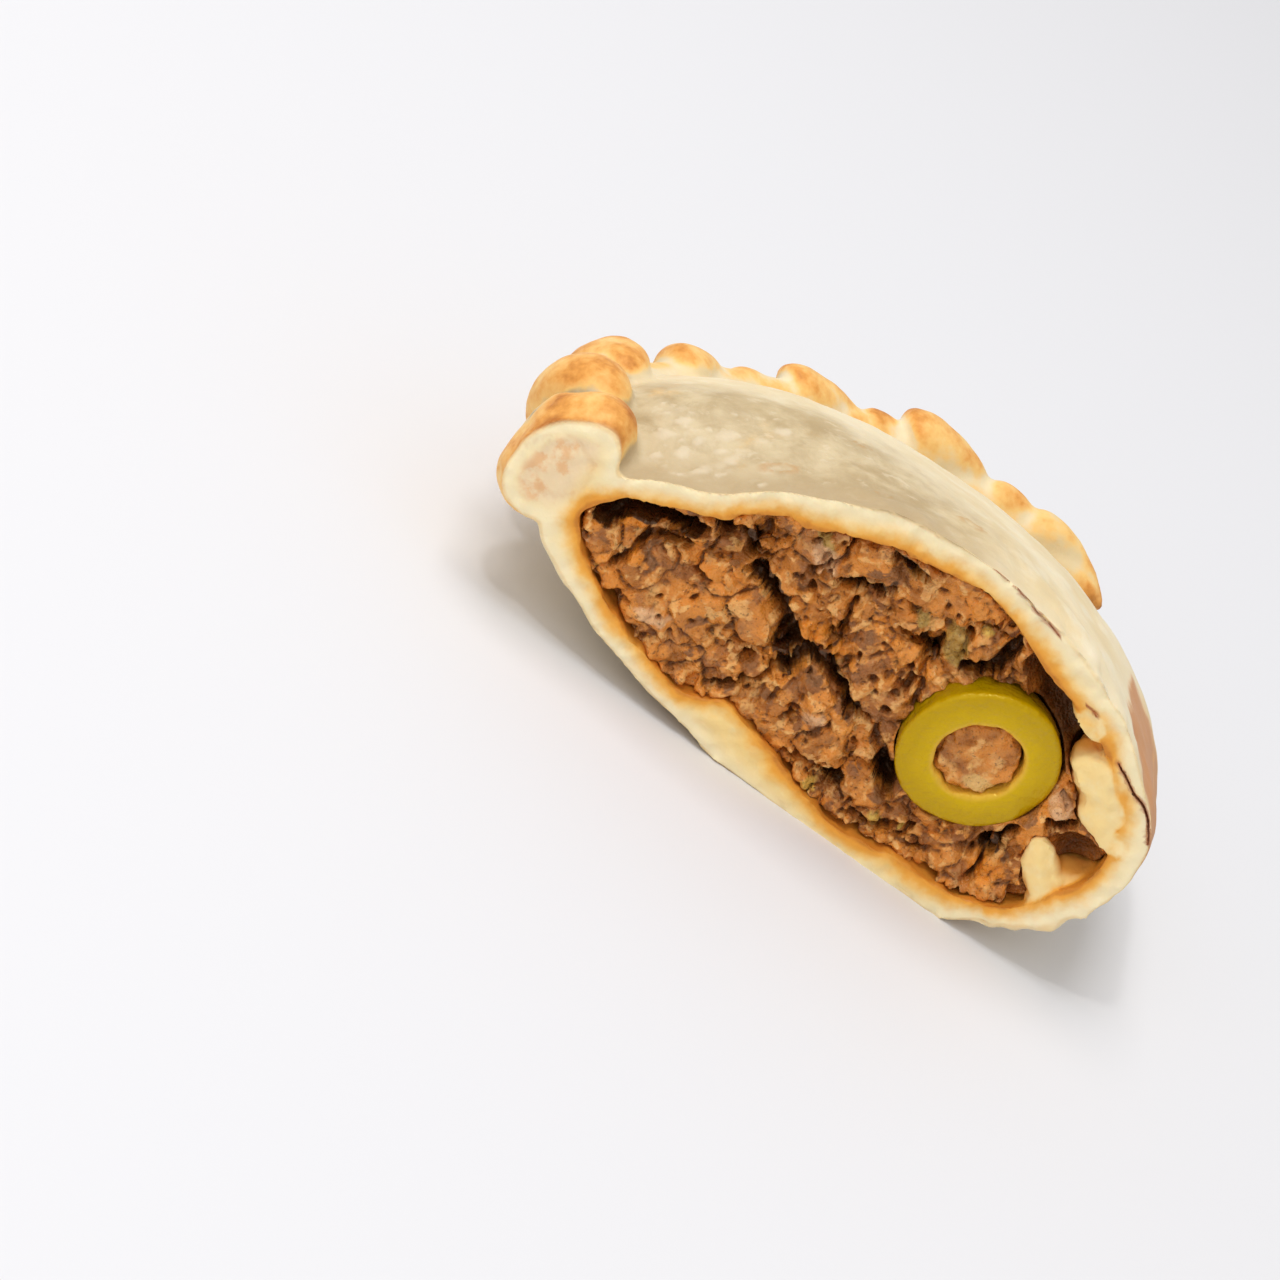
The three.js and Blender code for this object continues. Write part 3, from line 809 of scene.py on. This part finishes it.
def make_filling():
    draw = np.random.default_rng(11)
    masses = copies("masses", 6, [mass_shape(k, *row) for k, row in enumerate(MASSES)])
    rows = np.concatenate([scattered(draw, *row) for row in CRUMBS] + [edge_crumbs(draw, 190)])
    loose = copies("loose", 3, [crumb_shape(draw, k, *row) for k, row in enumerate(rows)])
    room, backing, spare = (pillow(INSIDE, HEAP_TIP, WALL + GAP, inset, 160, 80)
                            for inset in (GAP, 0.3, 0.08))
    combine(backing, block((-10, 2.2, -5), (90, 11, 60)), "INTERSECT")
    heap = remesh(join([masses, loose, backing], "mince_heap"), HEAP_GRAIN)
    points, normals = places(heap), facing(heap)
    front = smoothstep(-points[:, 1], -6.5, -4.5) * smoothstep(-normals[:, 1], -0.3, 0.3)
    out, _, _ = crumbled(points)
    raised = sum(bits(points, kind) for kind in BITS)
    points[:, 1] += front * (gaps(points) - out - 0.4 * raised)
    points += normals * (front * 0.12 * grain(points, 1.1, 41, 2))[:, None]
    move_to(heap, points)
    combine(heap, spare, "INTERSECT")
    combine(heap, olive_room(0.15), "DIFFERENCE")
    folds = [(centre, np.array(size) + 0.2, turn) for centre, size, turn in FOLDS]
    for hollow in [lump(*row) for row in HOLLOWS + folds] + [flap(0.2)]:
        combine(heap, hollow, "DIFFERENCE")
    combine(room, block((-10, 9, -5), (90, 80, 60)), "INTERSECT")
    combine(heap, room, "UNION")
    points = strayed(places(heap))
    points[:, 1] = np.clip(points[:, 1], 0.1, None)
    move_to(heap, points)
    # out sets the painted shade in the recesses and part of the painted highlight on crumbs that
    # stand out.
    out = standing_out(heap, 40)
    _, tone, grit = crumbled(points)
    # The gap depths also set the painted shade in the gaps and pockets.
    store(heap, tone=tone, grit=grit, out=out, gap=gaps(points),
          **{kind: bits(points, kind) for kind in BITS})
    return heap


# ---- Olive

def put_olive(obj):
    """Turns what is made round the +Y axis to point into the pastry where the olive lies."""
    turn, nod = (Matrix.Rotation(math.radians(-OLIVE[key]), 3, axis)
                 for key, axis in (("turn", "Z"), ("nod", "X")))
    points = (places(obj) - MIDDLE) @ np.array(turn @ nod).T
    points += (OLIVE["x"], OLIVE["y"], OLIVE["z"])
    return move_to(obj, points)


def olive_profile(grow, count=24):
    share = np.linspace(0, 0.93, count)
    return np.stack([(OLIVE["radius"] + grow) * np.sqrt(1 - share ** 2.4),
                     (OLIVE["length"] + grow) * share], axis=1)


def lathe(name, profile, sides):
    """Spins a closed profile of radii and depths round the +Y axis."""
    bpy.ops.mesh.primitive_circle_add(vertices=len(profile), radius=1)
    obj = bpy.context.object
    obj.name = obj.data.name = name
    ring = np.stack([profile[:, 0], profile[:, 1], 0 * profile[:, 0]], axis=1)
    move_to(obj, ring + MIDDLE)
    pick(obj)
    bpy.ops.object.mode_set(mode="EDIT")
    bpy.ops.mesh.select_all(action="SELECT")
    bpy.ops.mesh.spin(steps=sides, angle=2 * math.pi, center=(0, 0, 0), axis=(0, 1, 0))
    bpy.ops.object.mode_set(mode="OBJECT")
    return face_out(obj)


def olive_room(grow):
    outside = olive_profile(grow, 12)
    profile = np.concatenate([[(0.001, -6), (OLIVE["radius"] + grow, -6)], outside,
                              [(0.001, outside[-1, 1])]])
    return put_olive(lathe("room", profile, 64))


def rounded(corner_from, corner, corner_to, radius):
    """A small arc in place of a corner."""
    a, b, c = map(np.array, (corner_from, corner, corner_to))
    start = b + (a - b) / np.linalg.norm(a - b) * radius
    stop = b + (c - b) / np.linalg.norm(c - b) * radius
    f = np.linspace(0, 1, 5)[:, None]
    return (1 - f) ** 2 * start + 2 * f * (1 - f) * b + f ** 2 * stop


def make_olive():
    outside = olive_profile(0)
    end_radius, end_depth = outside[-1]
    hole = OLIVE["hole"]
    profile = np.concatenate([
        rounded((hole, 3), (hole, 0.05), (6.5, 0), 0.55),
        [(5.6, -0.02), (6.6, 0.0), (7.4, 0.05)],
        rounded((6.5, 0), (OLIVE["radius"], 0.05), (OLIVE["radius"], 2), 0.7),
        outside[2:],
        [(end_radius * 0.6, end_depth), (hole, end_depth * 0.72), (hole, 4.5), (hole, 2.2)],
    ])
    obj = lathe("olive_ring", profile, 128)
    points = places(obj) - MIDDLE
    normals = facing(obj)
    radius = np.hypot(points[:, 0], points[:, 2])
    store(obj, ring=radius, depth=points[:, 1])
    points += normals * (0.10 * grain(points, 5, 61, 2) + 0.05 * grain(points, 1.1, 62, 2))[:, None]
    points += points * [1, 0, 1] * (smoothstep(-radius, -5.4, -4.4) *
                                    0.05 * grain(points, 2.2, 63, 2))[:, None]
    move_to(obj, points + MIDDLE)
    return put_olive(obj)


def make_olive_mince():
    draw = np.random.default_rng(17)
    radius = OLIVE["hole"] - 0.06
    core = np.array([(0.001, 1.4), (radius - 0.2, 1.4), (radius - 0.2, 5.5), (0.001, 5.5)])
    pieces = [lathe("plug", core, 48)]
    for index in range(110):
        angle, reach = index * 2.4, (radius - 0.6) * math.sqrt((index + 0.5) / 110)
        size = draw.uniform(0.45, 1.0)
        half = draw.uniform((0.8, 0.7, 0.7), (1.3, 1.0, 1.1)) * size
        made = lump((0, 0, 0), half, draw.uniform(0, 3, 3), 2)
        points = places(made)
        points += points * (0.25 * grain(points + index * 5, 0.7, 71, 2))[:, None]
        points += (reach * math.cos(angle), draw.uniform(0.9, 1.6), reach * math.sin(angle))
        points[:, 1] = np.clip(points[:, 1], 0.25, None)
        pieces.append(move_to(made, points + MIDDLE))
    obj = join(pieces, "mince_plug")
    remesh(obj, PLUG_GRAIN)
    bore = np.array([(0.001, 0.1), (radius, 0.1), (radius, 5.5), (0.001, 5.5)])
    combine(obj, lathe("bore", bore, 64), "INTERSECT")
    points = places(obj)
    points += facing(obj) * (0.06 * grain(points, 0.7, 73, 2))[:, None]
    move_to(obj, points)
    chip = np.hypot((points[:, 0] - MIDDLE[0] - 1.9) / 1.9, points[:, 2] + 2.5)
    chip = smoothstep(-chip, -1.2, -0.8)
    none = 0 * chip
    # out, raised a little here, sets the painted shade and highlight as on the heap; gap stays
    # zero, so nothing is painted dark as gaps.
    store(obj, tone=grain(points, 1.6, 75), grit=grain(points, 1.1, 76), gap=none,
          out=0.2 + standing_out(obj, 30), pale=chip, gold=0.5 * chip, green=none, rust=none)
    return put_olive(obj)


# ---- Finishes

class Value:
    """A shader number: arithmetic on it adds Math nodes."""

    def __init__(self, finish, socket):
        self.finish, self.socket = finish, socket

    def _math(self, operation, *values):
        return self.finish.node("ShaderNodeMath", {"operation": operation},
                                dict(enumerate(values)))

    def __add__(self, other): return self._math("ADD", self, other)
    def __radd__(self, other): return self._math("ADD", other, self)
    def __sub__(self, other): return self._math("SUBTRACT", self, other)
    def __rsub__(self, other): return self._math("SUBTRACT", other, self)
    def __mul__(self, other): return self._math("MULTIPLY", self, other)
    def __rmul__(self, other): return self._math("MULTIPLY", other, self)
    def __truediv__(self, other): return self._math("DIVIDE", self, other)
    def __rtruediv__(self, other): return self._math("DIVIDE", other, self)

    def clamped(self, low, high, to_low=0.0, to_high=1.0):
        """Smoothly carries low..high to to_low..to_high."""
        return self.finish.node(
            "ShaderNodeMapRange", {"interpolation_type": "SMOOTHSTEP"},
            {0: self, 1: low, 2: high, 3: to_low, 4: to_high})


class Finish:
    """A material, its named colours and the few calls that build its nodes."""

    def __init__(self, name, colours, **constants):
        self.colours = colours
        self.material = bpy.data.materials.new(name)
        self.material.use_nodes = True
        self.tree = self.material.node_tree
        self.shader = self.tree.nodes["Principled BSDF"]
        for key, value in constants.items():
            self.shader.inputs[key.replace("_", " ")].default_value = value
        self.object = self.node("ShaderNodeTexCoord", {}, {}, "Object")

    def node(self, kind, settings, inputs, output=0):
        made = self.tree.nodes.new(kind)
        for key, value in settings.items():
            setattr(made, key, value)
        for key, value in inputs.items():
            if isinstance(value, Value):
                self.tree.links.new(value.socket, made.inputs[key])
            else:
                made.inputs[key].default_value = value
        return Value(self, made.outputs[output])

    def attributes(self, *names):
        """The numbers that were stored for each vertex under these names."""
        return [self.node("ShaderNodeAttribute", {"attribute_name": name}, {}, "Fac")
                for name in names]

    def place(self, stretch=(1, 1, 1)):
        return self.node("ShaderNodeMapping", {}, {"Vector": self.object, "Scale": stretch})

    def noise(self, size, detail=3.0, rough=0.55, warp=0.0, stretch=(1, 1, 1)):
        """Noise from about 0 to 1 with grains of a size in millimetres."""
        return self.node("ShaderNodeTexNoise", {}, {
            "Vector": self.place(stretch), "Scale": 1 / (size * MM), "Detail": detail,
            "Roughness": rough, "Distortion": warp}, "Fac")

    def cells(self, size):
        return self.node("ShaderNodeTexVoronoi", {"feature": "F1"},
                         {"Vector": self.place(), "Scale": 1 / (size * MM)}, "Distance")

    def mix(self, amount, *ends):
        """Goes from one colour to another, each given as a value or by its name."""
        first, second = (end if isinstance(end, Value) else (*self.colours[end], 1)
                         for end in ends)
        return self.node("ShaderNodeMix", {"data_type": "RGBA"},
                         {0: amount, 6: first, 7: second}, 2)

    def layered(self, colour, *layers):
        """Lays more colours over a first one, each by its own amount."""
        for amount, over in layers:
            colour = self.mix(amount, colour, over)
        return colour

    def bump(self, height, distance):
        return self.node("ShaderNodeBump", {}, {
            "Height": height, "Distance": distance * MM, "Strength": 1.0}, "Normal")

    def feed(self, **sockets):
        for key, value in sockets.items():
            self.tree.links.new(value.socket, self.shader.inputs[key.replace("_", " ")])
        return self.material

    def where(self):
        """x, y and z in the pastry's frame, in millimetres."""
        return [self.node("ShaderNodeSeparateXYZ", {}, {0: self.object}, axis) / MM + MIDDLE[axis]
                for axis in range(3)]


# Colours are linear red, green and blue.
DOUGH = dict(
    plain=(0.77, 0.60, 0.33), light=(0.84, 0.71, 0.47), floury=(0.87, 0.78, 0.59),
    dull=(0.43, 0.31, 0.16), dry=(0.64, 0.51, 0.31), dry_spot=(0.72, 0.60, 0.41),
    dull_edge=(0.47, 0.34, 0.185), blister=(0.74, 0.62, 0.44), flake=(0.50, 0.27, 0.10),
    golden=(0.90, 0.56, 0.18), toasted=(0.76, 0.32, 0.06), dark=(0.44, 0.14, 0.02),
    patch_edge=(0.86, 0.50, 0.20), patch=(0.55, 0.22, 0.075), underside=(0.62, 0.36, 0.14),
    crumb=(0.99, 0.83, 0.52), deep_crumb=(0.99, 0.71, 0.29), crumb_spot=(0.98, 0.80, 0.44),
    rim=(0.86, 0.60, 0.28), rope_crumb=(0.90, 0.70, 0.46), rope_spot=(0.85, 0.46, 0.20),
    layer=(0.72, 0.42, 0.18), soaked=(0.92, 0.48, 0.08), stained=(0.84, 0.33, 0.03),
    # The last colour in the next row, for the cracks, is partly painted shade in them and partly
    # the red-brown of juice.
    seam=(0.50, 0.14, 0.015), pocket=(0.80, 0.33, 0.04), crack=(0.42, 0.10, 0.035),
)
MINCE = dict(
    # light is partly pale crumbs at random, partly a painted highlight on crumbs that stand out.
    brown=(0.34, 0.10, 0.013), warm=(0.80, 0.29, 0.045), light=(0.95, 0.52, 0.17),
    dull=(0.43, 0.18, 0.065), sauce=(0.82, 0.25, 0.02), red_crumb=(0.78, 0.25, 0.02),
    dark_crumb=(0.24, 0.095, 0.03), rust=(0.84, 0.27, 0.02), green=(0.40, 0.27, 0.06),
    # The last colour in the next row is painted shade, the dark of tiny pits.
    pale=(0.80, 0.46, 0.23), gold=(0.93, 0.60, 0.12), pit_shade=(0.14, 0.04, 0.006),
    # The three colours of the next row are painted shade: in the recesses, in the gaps and pockets,
    # and deeper behind the cut face; the first and last also carry the dark of juice.
    sunk=(0.13, 0.035, 0.006), gap=(0.035, 0.010, 0.003), behind=(0.08, 0.025, 0.005),
)
FLESH = dict(flesh=(0.66, 0.415, 0.0), outer=(0.55, 0.335, 0.0), skin=(0.50, 0.30, 0.0),
             side=(0.36, 0.22, 0.0), hole=(0.82, 0.48, 0.05))
# The toasted patch on the fold: its middle and half sizes.
PATCH = dict(middle=(72.5, 10, 21.5), half=(10, 13, 10.5))


def baked_dough():
    f = Finish("baked_dough", DOUGH, Subsurface_Weight=0.10, Subsurface_Scale=0.0015,
               Subsurface_Radius=(1.0, 0.6, 0.3), Specular_IOR_Level=0.22)
    x, y, z = f.where()
    cut, near, rind, crest, bubble, layer, crimp, cracked, flake = f.attributes(
        "cut", "near", "rind", "crest", "bubble", "layer", "crimp", "cracked", "flake")
    broad, mid, fine = f.noise(15), f.noise(4.5, 4), f.noise(0.9, 4)
    sway, drift, speck = broad - 0.5, mid - 0.5, fine - 0.5

    # The skin: a dull film on top, leaves of the rope toasted at their crests, a brown patch.
    film = f.mix((f.noise(3.0, 5, 0.6, 0.3, (0.8, 1, 1)) + sway * 0.7).clamped(0.3, 0.75),
                 "dull", "dry")
    film = f.layered(
        film,
        (f.noise(1.7, 4, 0.6, 0.4, (0.6, 1, 1)).clamped(0.56, 0.7) * 0.5, "dry_spot"),
        (y.clamped(8, 1) * 0.8, "dull_edge"))
    filmed = y.clamped(27, 7) * x.clamped(58, 22) * z.clamped(14, 19)
    heat = (crest + drift * 1.1 + sway * 0.8 + x.clamped(16, 2) * 0.1 + 0.05) * crimp
    dx, dy, dz = ((at - middle) / half
                  for at, middle, half in zip((x, y, z), PATCH["middle"], PATCH["half"]))
    patch = 1 - dx * dx - dy * dy - dz * dz + sway * 1.6 + drift * 1.2
    skin = f.layered(
        f.mix(broad.clamped(0.35, 0.65), "plain", "light"),
        (mid.clamped(0.5, 0.72) * 0.5, "floury"),
        ((filmed * 1.1 - drift * 0.5).clamped(0.0, 0.95) * 0.95, film),
        (bubble.clamped(0.0, 0.8) * 0.6, "blister"),
        (flake * 0.55, "flake"),
        (heat.clamped(0.0, 0.3) * 0.95, "golden"),
        ((heat + speck * 0.3).clamped(0.2, 0.55) * 0.9, "toasted"),
        ((heat + speck * 0.4).clamped(0.42, 0.8) * 0.9, "dark"),
        (patch.clamped(-0.1, 0.35) * 0.5, "patch_edge"),
        (patch.clamped(0.0, 0.4) * (0.95 - fine * 0.25), "patch"),
        (z.clamped(3.0, 0.3) * mid.clamped(0.3, 0.6) * 0.8, "underside"))

    # The cut wall, which is paler and spotted where the cut goes through the rope.
    rope = x.clamped(6.5, 4) * rind.clamped(0.9, 1.8)
    rope_spots = (f.noise(1.8, 5) + x.clamped(5, 0) * 0.15).clamped(0.55, 0.72)
    wall = f.layered(
        f.mix(rind.clamped(0.6, 2.4), "crumb", "deep_crumb"),
        (f.noise(1.6, 5).clamped(0.45, 0.75) * 0.5, "crumb_spot"),
        (rind.clamped(0.35, 0.05) * 0.7, "rim"),
        (rope * 0.8, "rope_crumb"),
        (rope * rope_spots * 0.7, "rope_spot"),
        (layer * 0.2, "layer"))

    # Both, with the stain that the filling leaves on them, and the cracks darkened, partly with
    # painted shade and partly with the red-brown of juice.
    soak = (near + drift * 4.0 + speck * 0.8).clamped(2.3, 0.1)
    pocket = (y + drift * 2.5).clamped(0.7, 2.4) * x.clamped(55, 59) * rind.clamped(1.2, 2.2)
    body = f.layered(
        f.mix(cut + rind.clamped(1.0, 1.8), skin, wall),
        (soak * 0.95, "soaked"),
        ((near + drift * 3.4).clamped(1.1, 0.1) * 0.75, "stained"),
        ((near + drift * 1.6).clamped(0.35, -0.1) * 0.6, "seam"),
        (pocket * 0.9, "pocket"),
        # Partly painted shade in the cracks, partly the red-brown of juice in them.
        (cracked * 0.85, "crack"))
    rough = (fine * 0.2 + 0.42) - soak * 0.12
    normal = f.bump(fine * 0.5 + f.noise(0.35, 3) * 0.3, 0.12)
    return f.feed(Base_Color=body, Roughness=rough, Normal=normal)


def cooked_mince():
    f = Finish("cooked_mince", MINCE, Subsurface_Weight=0.06, Subsurface_Scale=0.001,
               Subsurface_Radius=(1.0, 0.4, 0.1), Specular_IOR_Level=0.6,
               Specular_Tint=(1.0, 0.85, 0.65, 1.0))
    _, y, _ = f.where()
    tone, grit, out, gap, pale, gold, green, rust = f.attributes(
        "tone", "grit", "out", "gap", "pale", "gold", "green", "rust")
    fine, mid, broad = f.noise(0.6, 4), f.noise(2.2, 4), f.noise(7, 2)
    meat = f.layered(
        f.mix((tone * 0.4 + mid * 0.8 + (broad - 0.5) * 0.7).clamped(0.0, 0.8), "brown", "warm"),
        # Pale crumbs at random, and partly a painted highlight where crumbs stand out.
        ((grit * 0.5 + fine + out * 0.2).clamped(0.6, 1.0) * 0.8, "light"),
        ((f.noise(3.2, 4) - tone * 0.12).clamped(0.46, 0.68) * 0.5, "dull"),
        ((f.noise(2.6, 4) + tone * 0.1).clamped(0.52, 0.7) * 0.35, "sauce"),
        ((grit * 0.3 - tone * 0.4 + mid).clamped(0.75, 1.15) * 0.7, "red_crumb"),
        ((mid - grit * 0.3 - tone * 0.3).clamped(0.7, 1.05) * 0.8, "dark_crumb"),
        (rust * 0.8, "rust"), (green * 0.75, "green"),
        (pale * 0.85, "pale"), (gold * 0.85, "gold"),
        # Painted shade: dark specks as if from tiny pits, with no pits under them.
        (f.noise(0.45, 2).clamped(0.42, 0.28) * 0.6, "pit_shade"),
        # Painted shade in the recesses between crumbs, with the dark juice that gathers there.
        (out.clamped(-0.03, -0.4) * 0.8, "sunk"),
        # Painted shade: the gaps and pockets between the lumps, painted near black.
        (gap.clamped(1.2, 3.4) * 0.92, "gap"),
        # Painted shade deeper behind the cut face, with the darker juice there.
        (y.clamped(2.4, 5.5) * 0.8, "behind"))
    rough = f.noise(0.9, 2).clamped(0.4, 0.6, 0.08, 0.4)
    normal = f.bump(fine * 0.7 + f.noise(0.3, 3) * 0.4 + f.cells(1.0) * 0.6, 0.3)
    return f.feed(Base_Color=meat, Roughness=rough, Normal=normal)


def green_olive():
    f = Finish("green_olive", FLESH, Subsurface_Weight=0.10, Subsurface_Scale=0.002,
               Subsurface_Radius=(1.0, 0.8, 0.02), Specular_IOR_Level=0.7,
               Specular_Tint=(1.0, 0.88, 0.22, 1.0))
    ring, depth = f.attributes("ring", "depth")
    mid, fine = f.noise(2.4, 3), f.noise(0.5, 3)
    flesh = f.layered(
        f.mix((ring + (mid - 0.5) * 1.6).clamped(5.0, 7.6), "flesh", "outer"),
        ((ring + (mid - 0.5) * 0.6).clamped(7.7, 8.4), "skin"),
        (depth.clamped(0.2, 1.2), "side"),
        (ring.clamped(5.3, 4.6), "hole"))
    rough = fine.clamped(0.3, 0.7, 0.06, 0.2)
    normal = f.bump(fine * 0.6 + mid + f.noise(1.1, 2), 0.2)
    return f.feed(Base_Color=flesh, Roughness=rough, Normal=normal)


def dress(obj, material, node):
    obj.data.materials.clear()
    obj.data.materials.append(material)
    for polygon in obj.data.polygons:
        polygon.use_smooth = True
    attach(obj, "root")
    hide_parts(node)


# ---- The pieces

crust = make_crust()
filling = make_filling()
olive = make_olive()
olive_mince = make_olive_mince()
mince_finish = cooked_mince()
dress(crust, baked_dough(), "crust")
pick(crust)
bpy.ops.object.shade_smooth_by_angle(angle=math.radians(SHARP))
dress(filling, mince_finish, "filling")
dress(olive, green_olive(), "olive")
dress(olive_mince, mince_finish, "olive_mince")


# ---- Studio

bpy.ops.mesh.primitive_plane_add(size=6, location=(0, 0, 0))
floor = bpy.context.object
floor.name = "floor"
floor_white = Finish("floor_white", {}, Base_Color=(0.775, 0.765, 0.775, 1), Roughness=0.6)
floor.data.materials.append(floor_white.material)

# The camera: azimuth, elevation and roll in degrees, its distance and aim in the pastry's frame,
# and its focal length, the middle of its picture and the side of that, in pixels.
VIEW = dict(azimuth=-12, elevation=25, roll=40.5, distance=450, aim=(36, 0, 16.9), focal=4500,
            centre=(830, 660), side=1280)
# Lamps: the way to each in the camera's axes, its distance and size in metres, and its watts.
LAMPS = dict(
    key=((0.3, 0.85, 0.45), 0.9, 0.5, 3.9),
    fill=((-0.2, 0.3, 1.0), 1.2, 1.0, 2.3),
    glint=((0.15, 0.75, 0.8), 0.8, 0.06, 0.85),
)
SKY = dict(Color=(0.93, 0.94, 0.96, 1), Strength=0.64)


def add_camera():
    a, e, r = (math.radians(VIEW[key]) for key in ("azimuth", "elevation", "roll"))
    back = Vector((math.sin(a) * math.cos(e), -math.cos(a) * math.cos(e), math.sin(e)))
    right = Vector((math.cos(a), math.sin(a), 0))
    up = back.cross(right)
    data = bpy.data.cameras.new("camera")
    camera = bpy.data.objects.new("camera", data)
    bpy.context.scene.collection.objects.link(camera)
    rolled = (right * math.cos(r) + up * math.sin(r), up * math.cos(r) - right * math.sin(r), back)
    axes = Matrix(rolled).transposed()
    aim = Vector((np.array(VIEW["aim"]) - MIDDLE) * MM)
    camera.matrix_world = Matrix.Translation(aim + back * VIEW["distance"] * MM) @ axes.to_4x4()
    data.sensor_width = 36
    data.lens = VIEW["focal"] / VIEW["side"] * data.sensor_width
    data.shift_x = -(VIEW["centre"][0] / VIEW["side"] - 0.5)
    data.shift_y = VIEW["centre"][1] / VIEW["side"] - 0.5
    data.clip_start, data.clip_end = 0.01, 20
    bpy.context.scene.camera = camera
    return axes


def add_softbox(axes, name, towards, distance, size, watts):
    """A square lamp whose light comes from a way given in the camera's axes."""
    data = bpy.data.lights.new(name, "AREA")
    data.size = size
    data.energy = watts
    lamp = bpy.data.objects.new(name, data)
    bpy.context.scene.collection.objects.link(lamp)
    way = (axes @ Vector(towards)).normalized()
    facing_in = way.to_track_quat("Z", "Y").to_matrix().to_4x4()
    lamp.matrix_world = Matrix.Translation(way * distance) @ facing_in


view_axes = add_camera()
for name, lamp in LAMPS.items():
    add_softbox(view_axes, name, *lamp)

world = bpy.data.worlds.new("studio")
world.use_nodes = True
for key, value in SKY.items():
    world.node_tree.nodes["Background"].inputs[key].default_value = value
bpy.context.scene.world = world
bpy.context.scene.view_settings.view_transform = "Standard"
